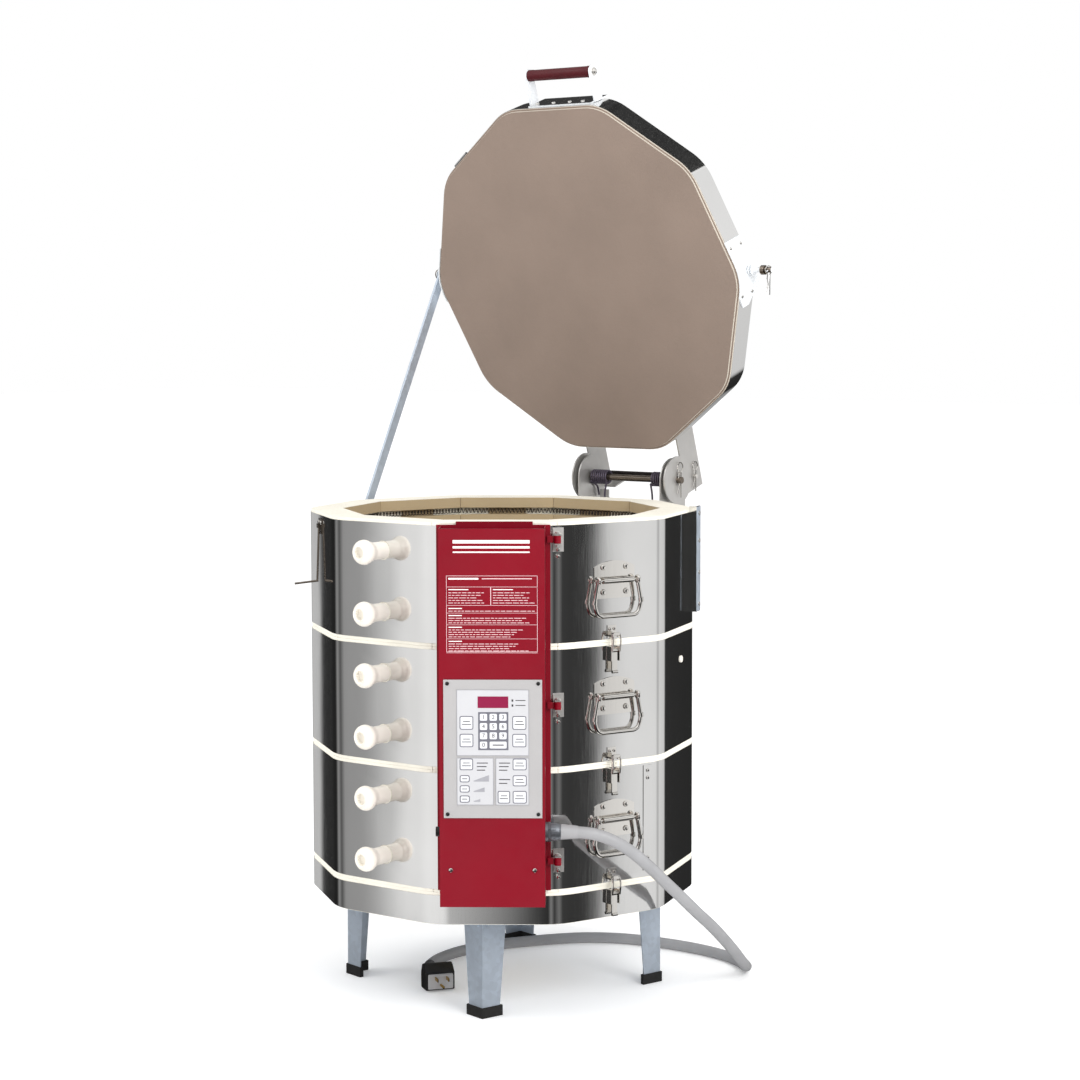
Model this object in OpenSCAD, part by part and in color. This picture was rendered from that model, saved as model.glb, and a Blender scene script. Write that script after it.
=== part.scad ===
// Ten-sided electric pottery kiln: three stacked firebrick rings in polished steel jackets,
// a counter-sprung lid held open by a prop arm, a hinged control box and a mains cord.
// Origin: on the kiln's axis at floor level. +Z up, -Y is the face with the peepholes.

/* [Kiln body] */
// Width across two opposite jacket faces
across_flats = 720; // [700:5:740]
// Radius of the jacket's bent corners
corner_r = 100; // [60:5:120]
// Thickness of the firebrick wall
wall_t = 63; // [57:1:70]
// Height of one brick ring
ring_h = 228; // [228:0.5:229]
// Height of the stand under the floor slab
stand_h = 190; // [185:1:195]
// Thickness of the floor slab
slab_t = 60; // [57:1:64]
// Brick left bare above and below each jacket
bare_h = 6; // [4:1:9]
// Thickness of the steel jackets
sheet_t = 0.9; // [0.6:0.1:1.5]

/* [Lid] */
// Thickness of the lid slab
lid_t = 57; // [50:1:60]
// Angle between the stored, open lid and the shut lid
lid_open_angle = 71.9; // [60:0.1:75]
// Distance of the hinge rod behind the rear face
hinge_back = 78; // [74:1:90]
// Height of the hinge rod above the rim
hinge_up = 36; // [30:1:42]

/* [Control box] */
// Width of the control box
box_w = 191; // [185:1:195]
// Distance of the box's front panel from the kiln's axis
box_front = 435; // [425:1:445]
// Lower edge of the box cover
box_z0 = 240; // [236:1:250]
// Upper edge of the box cover
box_z1 = 928; // [920:1:930]

/* [Hardware] */
// Width of the rubber-footed legs at the floor
leg_foot_w = 40; // [36:1:46]
// Width of the legs at the top
leg_top_w = 57; // [50:1:60]
// Diameter of the lid handle's grip
grip_d = 22; // [20:1:25]
// Diameter of the hinge rod
rod_d = 14; // [12:1:16]
// Diameter of the mains cord
cord_d = 22; // [20:1:23]

/* [Hidden] */
$fn = 48;

// The ten-sided plan. Face 0 looks along -Y and the faces count anticlockwise from above.
SIDES = 10;
STEP = 360 / SIDES;
HALF = STEP / 2;
CORNER_STEPS = 3;
apothem = across_flats / 2;
brick_out = apothem - sheet_t;
brick_in = brick_out - wall_t;
joint_gap = 0.4;
touch = 0.3;
BACK = 5;
BOX_FACE = 1;
HANDLE_FACES = [2, 7];
RINGS = [0, 1, 2];

// Levels
slab_z0 = stand_h;
ring_z0 = slab_z0 + slab_t;
rim_z = ring_z0 + len(RINGS) * ring_h;
function ring_base(i) = ring_z0 + i * ring_h;
function ring_top(i) = ring_base(i) + ring_h;

// Heating grooves and coils: four rows in each ring, two for each element
ROWS = 4;
row_pitch = ring_h / ROWS;
groove_w = 14;
groove_d = 14;
coil_w = 11;
coil_gap = 1.5;
groove_notch = 24;

// Peephole plugs: two in each ring, between the rows of each element
peep_x = 3;
peep_hole_d = 30;
peep_drops = [row_pitch, 3 * row_pitch];
plug_neck_d = 28;
plug_collar_d = 33;
plug_bulb_d = 47;
plug_bulb_w = 34;
plug_out = 70;
plug_recess_d = 21;

// Lid hinge
hinge_y = apothem + hinge_back;
hinge_z = rim_z + hinge_up;
lid_z0 = rim_z + touch;
lid_z1 = lid_z0 + lid_t;
lid_proud = 5;
cheek_x = 102;
cheek_t = 3;
cheek_front = 394;
cheek_back = 484;
cheek_z0 = 790;
cheek_bend_z = 905;
lid_plate_x = 115;
lid_plate_r = 49;
lid_plate_back = 478;
lid_plate_front = 190;
lid_plate_up = 83;
spring_pin = [451, 1027];
spring_x0 = 58;
spring_x1 = 98;
spring_out_d = 32;
spring_in_d = 22;

// Prop arm. The lower guide lies on the circle that the arm's upper pin travels, so that the
// arm turns half as far as the lid in both pivots.
arm_x = -397;
arm_t = 5;
arm_w = 20;
arm_pin_y = -8;
arm_pin_z = 975;
arm_pin_d = 10;
arm_reach = 672;
arm_radius = norm([hinge_y - arm_pin_y, hinge_z - arm_pin_z]);
arm_guide_angle = 18;
guide_y = hinge_y - arm_radius * cos(arm_guide_angle);
guide_z = hinge_z - arm_radius * sin(arm_guide_angle);
// Place of a point of the shut lid once the lid is open
function opened(y, z) = [
    hinge_y + (y - hinge_y) * cos(lid_open_angle) + (z - hinge_z) * sin(lid_open_angle),
    hinge_z - (y - hinge_y) * sin(lid_open_angle) + (z - hinge_z) * cos(lid_open_angle)
];
arm_top = opened(arm_pin_y, arm_pin_z);
arm_tilt = atan2(guide_y - arm_top[0], arm_top[1] - guide_z);
guide_r = 16;
guide_w = 13;
slot_gap = 0.5;

// Control box, measured on its own face: x to the right, y is the distance from the axis
box_x0 = -98;
box_x1 = box_x0 + box_w;
box_back = 366;
box_sheet = 1.5;
box_lip = 12;
back_plate_y = 363.5;
back_x0 = -106;
back_x1 = 102;
back_z0 = 256;
back_z1 = 930;
tongue_w = 140;
window_w = 124;
box_pivot = [115, 375];
box_arm_zs = [312, 600, 904];
pin_r = 3;
pin_gap = 0.08;
knuckle_r = 6.5;
knuckle_h = 14;
keypad_x0 = -90;
keypad_x1 = 88;
keypad_z0 = 404;
keypad_z1 = 656;
plate_t = 2;
membrane_t = 0.8;
gland_z = 372;
gland_y = 400;
gland_len = 28;

// Lift handles and latches
handle_x = 8;
handle_zs = [376, 606, 822];
handle_half = 45;
bail_half = 54;
bail_drop = 66;
bail_d = 7;
bail_pin_d = 5;
bail_pivot_out = 12;
latch_x = 2;
latch_out = 9;
latch_w = 20;
latch_pin_d = 4;

// Lid handle
grip_x = 15;
grip_half = 77;
grip_out = 58;
handle_bar_w = 26;
handle_bar_t = 4;

// Cord route from the gland to the plug, chosen by hand
CORD_ROUTE = [
    [333, -252, 372], [358, -234, 371], [384, -215, 367], [408, -194, 355], [427, -165, 333],
    [440, -130, 303], [448, -85, 265], [451, -35, 227], [449, 20, 188], [442, 80, 150],
    [430, 140, 112], [415, 200, 74], [397, 258, 38], [374, 308, 16], [338, 344, 11],
    [294, 368, 11], [245, 381, 11], [195, 387, 11], [145, 387, 11], [95, 382, 11],
    [45, 372, 11], [-2, 352, 11], [-44, 322, 11], [-78, 283, 11], [-108, 238, 11],
    [-137, 190, 11], [-160, 138, 11], [-172, 84, 11], [-172, 30, 11], [-160, -22, 11],
    [-136, -70, 11], [-102, -110, 13], [-62, -138, 18]
];
CORD_SIDES = 10;
stub_r = 55;
plug_at = [-59.6, -139.7, 18];
plug_turn = -35;

// ---------------------------------------------------------------- helpers

// Quarter of the rounded plan on the right of one face, from the flat to the corner's middle
function right_arc(a, r, grow) = [
    for (i = [0 : CORNER_STEPS])
        let (t = HALF * i / CORNER_STEPS)
        [(a - r) * tan(HALF) + (r + grow) * sin(t), -(a - r) - (r + grow) * cos(t)]
];
function flip(points) = [for (i = [len(points) - 1 : -1 : 0]) [-points[i][0], points[i][1]]];
function turn(p, angle) = [
    p[0] * cos(angle) - p[1] * sin(angle), p[0] * sin(angle) + p[1] * cos(angle)
];
// Outline of the whole plan, pushed outwards by grow
function plan(grow) = [
    for (k = [0 : SIDES - 1])
        let (arc = right_arc(apothem, corner_r, grow))
        for (i = [0 : 2 * CORNER_STEPS])
            turn(
                i < CORNER_STEPS ? arc[i] : turn(flip(arc)[i - CORNER_STEPS], STEP),
                k * STEP
            )
];

module on_face(k) { rotate([0, 0, k * STEP]) children(); }
module rounded_prism(grow, z0, z1) {
    translate([0, 0, z0]) linear_extrude(z1 - z0) polygon(plan(grow));
}
module shell(grow, t, z0, z1) {
    difference() {
        rounded_prism(grow, z0, z1);
        rounded_prism(grow - t, z0 - 1, z1 + 1);
    }
}
// Plain ten-sided prism with the given distance from axis to face
module prism(a, z0, z1) {
    translate([0, 0, z0]) linear_extrude(z1 - z0)
        polygon([for (k = [0 : SIDES - 1]) turn([a * tan(HALF), -a], k * STEP)]);
}
// Block on a face: x range, distance range from the axis, z range
module block(x, d, z) {
    translate([x[0], -d[1], z[0]]) cube([x[1] - x[0], d[1] - d[0], z[1] - z[0]]);
}
// Round bar pointing outwards from a face
module stud(x, z, d0, d1, dia) {
    translate([x, -d0, z]) rotate([90, 0, 0]) cylinder(d = dia, h = d1 - d0);
}
module screw(x, z, d0, dia = 7, h = 2.2) { stud(x, z, d0, d0 + h, dia); }
// Bar along x at a distance from the axis
module cross_bar(x0, x1, dist, z, dia) {
    translate([x0, -dist, z]) rotate([0, 90, 0]) cylinder(d = dia, h = x1 - x0);
}
// Plate in the y-z plane, from its y-z outline
module side_plate(x, t, outline) {
    translate([x, 0, 0]) rotate([90, 0, 90]) linear_extrude(t) polygon(outline);
}
module side_disc(x, t, r, y, z) {
    translate([x, y, z]) rotate([0, 90, 0]) cylinder(r = r, h = t);
}
// The lid's nodes are drawn shut and turned to the open, stored place
module lid_place() {
    translate([0, hinge_y, hinge_z]) rotate([-lid_open_angle, 0, 0])
        translate([0, -hinge_y, -hinge_z]) children();
}

// ---------------------------------------------------------------- stand

leg_angles = [-59, 31, 121, 211];
leg_r = 312;
leg_t = 2.5;
leg_z0 = 3;
pan_t = 2;
leg_z1 = stand_h - pan_t;
foot_h = 20;
foot_wall = 3;

module leg_frame(angle) {
    rotate([0, 0, angle]) translate([leg_r, 0, 0]) rotate([0, 0, 135]) children();
}
// L-shaped section with its outer corner pushed out by grow
module angle_section(w, t, grow) {
    difference() {
        translate([-grow, -grow]) square(w + grow);
        translate([t, t]) square(w);
    }
}
module stand_pan() {
    color("#8d9094") difference() {
        rounded_prism(-8, slab_z0 - pan_t, slab_z0);
        translate([0, 0, slab_z0 - pan_t - 1]) cylinder(d = 260, h = pan_t + 2);
    }
}
module leg_wing() {
    translate([0, leg_t, 0]) rotate([90, 0, 0]) linear_extrude(leg_t) polygon([
        [0, leg_z0], [leg_foot_w, leg_z0], [leg_top_w, leg_z1], [0, leg_z1]
    ]);
    for (u = [14, 40]) translate([u, 0, leg_z1 - 12]) rotate([90, 0, 0]) cylinder(d = 8, h = 3);
}
module stand_legs() {
    color("#aab6c2") for (angle = leg_angles) leg_frame(angle) {
        leg_wing();
        mirror([1, -1, 0]) leg_wing();
        translate([0, 0, leg_z1 - leg_t]) linear_extrude(leg_t)
            polygon([[0, 0], [leg_top_w, 0], [0, leg_top_w]]);
    }
}
module stand_feet() {
    color("#1c1b1a") for (angle = leg_angles) leg_frame(angle) difference() {
        linear_extrude(foot_h) angle_section(leg_foot_w + 6, leg_t + foot_wall, foot_wall);
        translate([0, 0, leg_z0]) linear_extrude(foot_h) angle_section(leg_foot_w + 3, leg_t, 0);
    }
}

// ---------------------------------------------------------------- kiln body

module floor_slab() {
    color("#e9e0c8") rounded_prism(-sheet_t, slab_z0, ring_z0);
}
module floor_band() {
    color("#c9cacc") {
        shell(0, sheet_t, slab_z0 + 1, ring_z0 - bare_h);
        on_face(6) {
            block([-16, 16], [apothem, apothem + 3], [slab_z0 + 16, slab_z0 + 40]);
            cross_bar(-26, 26, apothem + 7, slab_z0 + 28, 8);
        }
    }
}
module brick(z0, z1) {
    arc = right_arc(apothem, corner_r, -sheet_t);
    shift = joint_gap / 2 / cos(HALF);
    side = [for (i = [0 : CORNER_STEPS]) [arc[i][0] - (i == CORNER_STEPS ? shift : 0), arc[i][1]]];
    inner = [brick_in * tan(HALF) - shift, -brick_in];
    translate([0, 0, z0]) linear_extrude(z1 - z0)
        polygon(concat(flip(side), side, [inner, [-inner[0], inner[1]]]));
}
function row_z(i, row) = ring_base(i) + (row + 0.5) * row_pitch;

// Each element starts at its upper row's left end and stops at its lower row's right end
terminal_x = 30;
bushing_d = 12;
stud_d = 4;
thermo_z = ring_top(1) - 2 * row_pitch;
function terminal_spots(i) = [
    for (e = [0, 1], side = [-1, 1]) [side * terminal_x, row_z(i, 2 * e + (side < 0 ? 1 : 0))]
];

// Holes through one ring's wall, from distance d0 to d1, each widened by extra
module wall_holes(i, d0, d1, extra) {
    on_face(0) for (drop = peep_drops) stud(peep_x, ring_top(i) - drop, d0, d1, peep_hole_d + extra);
    on_face(BOX_FACE) {
        for (spot = terminal_spots(i)) stud(spot[0], spot[1], d0, d1, bushing_d + extra);
        if (i == 1) stud(0, thermo_z, d0, d1, bushing_d + extra);
    }
}
module ring_bricks(i) {
    color("#eee6d2") difference() {
        for (k = [0 : SIDES - 1]) on_face(k) brick(ring_base(i), ring_top(i) - touch / 6);
        for (row = [0 : ROWS - 1])
            prism(brick_in + groove_d, row_z(i, row) - groove_w / 2, row_z(i, row) + groove_w / 2);
        wall_holes(i, brick_in - 5, apothem + 5, 0);
    }
}
module bottom_ring_bricks() { ring_bricks(0); }
module middle_ring_bricks() { ring_bricks(1); }
module top_ring_bricks() { ring_bricks(2); }

module ring_shell(i) {
    difference() {
        shell(0, sheet_t, ring_base(i) + bare_h, ring_top(i) - bare_h);
        wall_holes(i, apothem - 5, apothem + 5, 6);
    }
}
seam_t = 1.2;
module seam_strip(k, x, z0, z1) {
    on_face(k) {
        block([x - 10, x + 10], [apothem, apothem + seam_t], [z0, z1]);
        for (z = [z0 + 10, z0 + 24, z1 - 24, z1 - 10]) screw(x, z, apothem + seam_t, 6);
    }
}
module bottom_ring_jacket() {
    color("#c9cacc") { ring_shell(0); seam_strip(2, 86, ring_base(0) + 18, ring_top(0) - 10); }
}
module middle_ring_jacket() {
    color("#c9cacc") {
        ring_shell(1);
        seam_strip(4, 0, ring_base(1) + 18, ring_top(1) - 18);
        on_face(3) screw(18, ring_top(1) - row_pitch, apothem, 12, 1.5);
    }
}
// The top jacket is drawn together by a channel that stands out beside the rear right corner
channel_x = 88;
channel_z0 = ring_base(2) + 29;
channel_z1 = rim_z + 6;
module top_ring_jacket() {
    color("#c9cacc") {
        ring_shell(2);
        on_face(3) {
            block([channel_x - 16, channel_x - 13.5], [apothem + touch, apothem + 15],
                [channel_z0, channel_z1]);
            block([channel_x - 16, channel_x + 10], [apothem + 12.5, apothem + 15],
                [channel_z0, channel_z1]);
            for (z = [channel_z0 + 14, channel_z0 + 76, channel_z0 + 138, channel_z1 - 14])
                screw(channel_x, z, apothem + 15, 8);
        }
    }
}
module heating_elements() {
    outer = brick_in + groove_d - coil_gap;
    color("#6b6560") difference() {
        for (i = RINGS, row = [0 : ROWS - 1])
            prism(outer, row_z(i, row) - coil_w / 2, row_z(i, row) + coil_w / 2);
        prism(outer - coil_w, ring_z0 - 1, rim_z + 1);
        on_face(BOX_FACE)
            block([-groove_notch / 2, groove_notch / 2], [brick_in - 5, apothem], [ring_z0, rim_z]);
    }
}
module element_terminals() {
    color("#e8e2d4") on_face(BOX_FACE) for (i = RINGS, spot = terminal_spots(i)) {
        stud(spot[0], spot[1], brick_in + groove_d + 1, apothem + 8, bushing_d - 1);
        stud(spot[0], spot[1], apothem + 8, apothem + 24, stud_d);
        stud(spot[0], spot[1], apothem + 12, apothem + 16, 10);
    }
}
module thermocouple() {
    color("#d9d2c0") on_face(BOX_FACE) {
        stud(0, thermo_z, brick_in - 25, apothem + 6, 9);
        block([-14, 14], [apothem + 6, apothem + 16], [thermo_z - 10, thermo_z + 10]);
    }
}
lug_t = 2.5;
module box_hinge_brackets() {
    color("#b8babd") on_face(BOX_FACE) for (z = box_arm_zs) {
        intersection() {
            shell(2.2, 2.2, z - 24, z + 24);
            block([106, 126], [280, 380], [z - 38, z + 20]);
        }
        for (side = [-1, 1]) translate([0, 0, z + side * (knuckle_h / 2 + 0.5 + lug_t / 2)])
            block([110, 122], [357, box_pivot[1] + 5], [-lug_t / 2, lug_t / 2]);
        translate([box_pivot[0], -box_pivot[1], z - 14]) cylinder(r = pin_r, h = 28);
        translate([box_pivot[0], -box_pivot[1], z + 11]) cylinder(r = pin_r + 1.5, h = 3);
    }
}

// ---------------------------------------------------------------- lift handles and latches

plate_sheet = 1.5;
barrel_d = 11;
barrel_half = 34;
barrel_dist = apothem + bail_pivot_out;
module handle_plate() {
    difference() {
        union() {
            translate([0, -apothem, 0]) rotate([90, 0, 0]) linear_extrude(plate_sheet) intersection() {
                translate([-46, -34]) square([92, 74]);
                translate([0, -64]) circle(r = 100);
            }
            cross_bar(-barrel_half, barrel_half, barrel_dist, 0, barrel_d);
            block([-barrel_half, barrel_half], [apothem, barrel_dist], [-3, 3]);
        }
        cross_bar(-barrel_half - 1, barrel_half + 1, barrel_dist, 0, bail_pin_d + 2 * pin_gap);
    }
    for (x = [-26, 26], z = [-22, 24]) screw(x, z, apothem + plate_sheet, 9, 3);
}
module handle_plates() {
    color("#d6d3c8") for (k = HANDLE_FACES, z = handle_zs)
        on_face(k) translate([handle_x, 0, z]) handle_plate();
}
// Round bar through a list of points, with slightly fuller bends
module bent_bar(points, dia) {
    for (i = [0 : len(points) - 2]) {
        v = points[i + 1] - points[i];
        translate(points[i]) rotate([0, acos(v[2] / norm(v)), atan2(v[1], v[0])])
            cylinder(d = dia, h = norm(v));
        if (i > 0) translate(points[i]) sphere(d = dia + 0.6);
    }
}
module lift_bail(k, z) {
    color("#d9d6cc") on_face(k) translate([handle_x, -barrel_dist, z]) {
        bent_bar([[-barrel_half + 12, 0, 0], [-handle_half, 0, 0]], bail_pin_d);
        bent_bar([
            [-handle_half, 0, 0], [-bail_half, 0, -bail_drop + 20], [-bail_half + 12, 0, -bail_drop],
            [bail_half - 12, 0, -bail_drop], [bail_half, 0, -bail_drop + 20], [handle_half, 0, 0]
        ], bail_d);
        bent_bar([[handle_half, 0, 0], [barrel_half - 12, 0, 0]], bail_pin_d);
        for (side = [-1, 1]) translate([side * handle_half, 0, 0]) sphere(d = bail_d + 2);
    }
}
module lift_bail_1() { lift_bail(2, handle_zs[0]); }
module lift_bail_2() { lift_bail(2, handle_zs[1]); }
module lift_bail_3() { lift_bail(2, handle_zs[2]); }
module lift_bail_4() { lift_bail(7, handle_zs[0]); }
module lift_bail_5() { lift_bail(7, handle_zs[1]); }
module lift_bail_6() { lift_bail(7, handle_zs[2]); }

latch_joints = [ring_base(0), ring_base(1), ring_base(2)];
latch_drop = 14;
latch_dist = apothem + latch_out;
module latch_plate() {
    block([-latch_w / 2, latch_w / 2], [apothem, apothem + plate_sheet], [8, 32]);
    for (side = [-1, 1]) screw(5 * side, 25, apothem + plate_sheet, 5, 2);
    block([-7, 7], [apothem, latch_dist + 4], [11, 14]);
    block([-7, 7], [latch_dist + 1, latch_dist + 4], [11, 19]);
    block([-latch_w / 2, latch_w / 2], [apothem, apothem + plate_sheet], [-50, -9]);
    for (side = [-1, 1]) difference() {
        translate([side * (latch_w / 2 - 1), 0, -latch_drop])
            block([-1, 1], [apothem, latch_dist + 4], [-6, 6]);
        cross_bar(-latch_w, latch_w, latch_dist, -latch_drop, latch_pin_d + 2 * pin_gap);
    }
    // Wire loop from the lever's knuckle up over the hook
    for (side = [-1, 1]) translate([side * 9.5, -latch_dist - 6, -6]) cylinder(d = 2.4, h = 22);
    cross_bar(-9.5, 9.5, latch_dist + 6, 16, 2.4);
}
module latch_plates() {
    color("#cfc9bc") for (k = HANDLE_FACES, z = latch_joints)
        on_face(k) translate([latch_x, 0, z]) latch_plate();
}
module latch_lever(k, z) {
    color("#d9d6cc") on_face(k) translate([latch_x, 0, z - latch_drop]) {
        cross_bar(-latch_w / 2, latch_w / 2, latch_dist, 0, latch_pin_d);
        cross_bar(-latch_w / 2 + 2.5, latch_w / 2 - 2.5, latch_dist, 0, 8);
        block([-6, 6], [latch_dist - 1, latch_dist + 1.5], [-38, -2]);
        cross_bar(-6, 6, latch_dist + 1.5, -40, 6);
    }
}
module latch_lever_1() { latch_lever(2, latch_joints[0]); }
module latch_lever_2() { latch_lever(2, latch_joints[1]); }
module latch_lever_3() { latch_lever(2, latch_joints[2]); }
module latch_lever_4() { latch_lever(7, latch_joints[0]); }
module latch_lever_5() { latch_lever(7, latch_joints[1]); }
module latch_lever_6() { latch_lever(7, latch_joints[2]); }

// ---------------------------------------------------------------- lid hinge and prop arm

rod_half = 128;
cheek_mid = (cheek_front + cheek_back) / 2;
module hinge_cheeks() {
    color("#c4c4c4") {
        difference() {
            for (x = [-cheek_x - cheek_t, cheek_x]) {
                side_plate(x, cheek_t, [
                    [apothem + 1, cheek_z0], [430, cheek_z0], [cheek_back, 850], [cheek_back, hinge_z],
                    [cheek_front, hinge_z], [cheek_front, 930], [apothem + 1, cheek_bend_z]
                ]);
                side_disc(x, cheek_t, (cheek_back - cheek_front) / 2, cheek_mid, hinge_z);
            }
            side_disc(-rod_half, 2 * rod_half, rod_d / 2 + pin_gap, hinge_y, hinge_z);
        }
        on_face(BACK) {
            block([-cheek_x, cheek_x], [apothem + 1, apothem + 4], [cheek_z0, cheek_bend_z]);
            for (x = [-80, 80], z = [cheek_z0 + 15, cheek_bend_z - 15]) screw(x, z, apothem + 4, 12, 5);
        }
    }
}
module hinge_rod() {
    color("#8a8378") {
        side_disc(-rod_half, 2 * rod_half, rod_d / 2, hinge_y, hinge_z);
        for (side = [-1, 1]) {
            x = side * 121;
            translate([x, hinge_y, hinge_z - 12]) cylinder(d = 3, h = 30);
        }
    }
}
spring_leg_d = 4;
spring_leg_z = 880;
module hinge_springs() {
    color("#4b4a52") for (side = [-1, 1]) {
        x = side > 0 ? spring_x0 : -spring_x1;
        difference() {
            side_disc(x, spring_x1 - spring_x0, spring_out_d / 2, hinge_y, hinge_z);
            side_disc(x - 1, spring_x1 - spring_x0 + 2, spring_in_d / 2, hinge_y, hinge_z);
        }
        translate([side * (spring_x0 + spring_leg_d), hinge_y - 10, spring_leg_z])
            cylinder(d = spring_leg_d, h = hinge_z - 10 - spring_leg_z);
    }
}
module arm_bracket() {
    color("#b8babd") difference() {
        union() {
            intersection() {
                shell(2.5, 2.5, guide_z - 30, guide_z + 30);
                translate([-400, guide_y - 30, guide_z - 30]) cube([60, 60, 60]);
            }
            side_disc(-388, 13, 11, guide_y, guide_z);
        }
        side_disc(-389, 17, 5 + pin_gap, guide_y, guide_z);
    }
}
// Swivelling guide that the prop arm slides through
module arm_guide() {
    color("#a9adb3") translate([arm_x, guide_y, guide_z]) rotate([arm_tilt, 0, 0]) difference() {
        union() {
            translate([-7, -guide_w - 3, -guide_r]) cube([14, 2 * (guide_w + 3), 2 * guide_r]);
            rotate([0, 90, 0]) cylinder(r = 5, h = 22);
        }
        translate([-arm_t / 2 - slot_gap, -arm_w / 2 - slot_gap, -guide_r - 1])
            cube([arm_t + 2 * slot_gap, arm_w + 2 * slot_gap, 2 * guide_r + 2]);
    }
}
module lid_arm() {
    color("#a8b2bd") translate([arm_x - arm_t / 2, arm_top[0], arm_top[1]]) rotate([arm_tilt, 0, 0])
        difference() {
            union() {
                translate([0, -arm_w / 2, -arm_reach]) cube([arm_t, arm_w, arm_reach]);
                rotate([0, 90, 0]) cylinder(d = arm_w + 4, h = arm_t);
            }
            translate([-1, 0, 0]) rotate([0, 90, 0]) cylinder(d = arm_pin_d + 2 * pin_gap, h = arm_t + 2);
        }
}
module wire_hook() {
    color("#8f8d8a") on_face(9) {
        block([-14, 14], [apothem, apothem + 2], [892, 922]);
        for (side = [-1, 1]) screw(8 * side, 914, apothem + 2);
        bent_bar([[0, -apothem - 4, 912], [0, -apothem - 8, 802], [0, -apothem - 52, 798]], 4);
        block([-4, 4], [apothem, apothem + 8], [904, 912]);
    }
}

// ---------------------------------------------------------------- peephole plugs

module peephole_plug(i, n) {
    bulb_mid = apothem + plug_out - plug_bulb_w / 2;
    bulb_core = (plug_bulb_d - plug_bulb_w) / 2;
    color("#efe9dc") translate([peep_x, 0, ring_top(i) - peep_drops[n]]) rotate([90, 0, 0])
        rotate_extrude() difference() {
            union() {
                translate([0, brick_in + 2]) square([plug_neck_d / 2, wall_t + 20]);
                translate([0, brick_out + touch]) square([plug_collar_d / 2, bulb_mid - brick_out]);
                translate([0, bulb_mid - plug_bulb_w / 2]) square([bulb_core, plug_bulb_w]);
                intersection() {
                    translate([bulb_core, bulb_mid]) circle(d = plug_bulb_w);
                    translate([0, bulb_mid - plug_bulb_w]) square(2 * plug_bulb_w);
                }
            }
            translate([-1, bulb_mid + 5]) square([plug_recess_d / 2 + 1, plug_bulb_w]);
        }
}
module peephole_plug_1() { peephole_plug(0, 1); }
module peephole_plug_2() { peephole_plug(0, 0); }
module peephole_plug_3() { peephole_plug(1, 1); }
module peephole_plug_4() { peephole_plug(1, 0); }
module peephole_plug_5() { peephole_plug(2, 1); }
module peephole_plug_6() { peephole_plug(2, 0); }

// ---------------------------------------------------------------- control box

module box_cover() {
    color("#8c1f2f") on_face(BOX_FACE) {
        difference() {
            block([box_x0, box_x1], [box_back, box_front], [box_z0, box_z1]);
            block([box_x0 + box_sheet, box_x1 - box_sheet], [box_back - 1, box_front - box_sheet],
                [box_z0 - 1, box_z1 + 1]);
            block([keypad_x0 + 12, keypad_x1 - 12], [box_back, box_front + 1],
                [keypad_z0 + 14, keypad_z1 - 14]);
            cross_bar(box_x0 - 1, box_x0 + 5, gland_y, gland_z, 14);
            cross_bar(box_x1 - 5, box_x1 + 1, gland_y, gland_z, 20);
        }
        for (z = [box_z0, box_z1 - box_sheet])
            block([box_x0, box_x1], [box_front - box_lip, box_front], [z, z + box_sheet]);
        for (x = [-78, 74]) screw(x, 308, box_front);
    }
}
module box_back_plate() {
    mid = [-tongue_w / 2, tongue_w / 2];
    color("#8c1f2f") on_face(BOX_FACE) {
        difference() {
            union() {
                block([back_x0, back_x1], [back_plate_y, box_back], [back_z0, back_z1]);
                block(mid, [back_plate_y, box_back], [box_z0 - 8, box_z1 + 8]);
            }
            block([-window_w / 2, window_w / 2], [back_plate_y - 1, box_back + 1],
                [back_z0 + 8, back_z1 - 8]);
        }
        for (z = box_arm_zs) difference() {
            union() {
                block([96, box_pivot[0] - 2], [box_back, box_pivot[1] - 1], [z - 6, z + 6]);
                translate([box_pivot[0], -box_pivot[1], z - knuckle_h / 2])
                    cylinder(r = knuckle_r, h = knuckle_h);
            }
            translate([box_pivot[0], -box_pivot[1], z - knuckle_h])
                cylinder(r = pin_r + pin_gap, h = 2 * knuckle_h);
        }
    }
}
module keypad_panel() {
    color("#b9b9b9") on_face(BOX_FACE) {
        block([keypad_x0, keypad_x1], [box_front, box_front + plate_t], [keypad_z0, keypad_z1]);
        for (x = [keypad_x0 + 7, keypad_x1 - 7], z = [keypad_z0 + 7, keypad_z1 - 7])
            screw(x, z, box_front + plate_t, 6, 1.5);
    }
}
module keypad_membrane() {
    d = [box_front + plate_t, box_front + plate_t + membrane_t];
    color("#d5d6d8") on_face(BOX_FACE) {
        block([-66, 64], d, [518, 638]);
        block([-66, 0], d, [428, 514]);
        block([4, 64], d, [428, 514]);
    }
}
module circuit_board() {
    color("#2f6b45") on_face(BOX_FACE) {
        block([-76, 74], [420, 421.6], [420, 640]);
        block([-30, 28], [421.6, 434], [598, 624]);
        for (x = [-50, 0, 46], z = [450, 510, 560]) block([x - 9, x + 9], [414, 420], [z - 9, z + 9]);
        for (x = [-70, 68], z = [426, 634]) stud(x, z, 421.6, box_front, 6);
    }
}
module transformer() {
    color("#3a3a3c") on_face(BOX_FACE) {
        block([-40, 40], [box_front - 4, box_front - box_sheet], [690, 760]);
        block([-30, 30], [398, box_front - 4], [700, 750]);
    }
}
module relays() {
    color("#2b2f38") on_face(BOX_FACE) for (x = [-50, 0, 50], z = [282, 336])
        block([x - 18, x + 18], [402, box_front - box_sheet], [z - 16, z + 16]);
}
module fuse_holder() {
    color("#161616") on_face(BOX_FACE) {
        cross_bar(box_x0 - 9, box_x0, gland_y, gland_z, 18);
        cross_bar(box_x0, box_x0 + 26, gland_y, gland_z, 13);
    }
}
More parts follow.
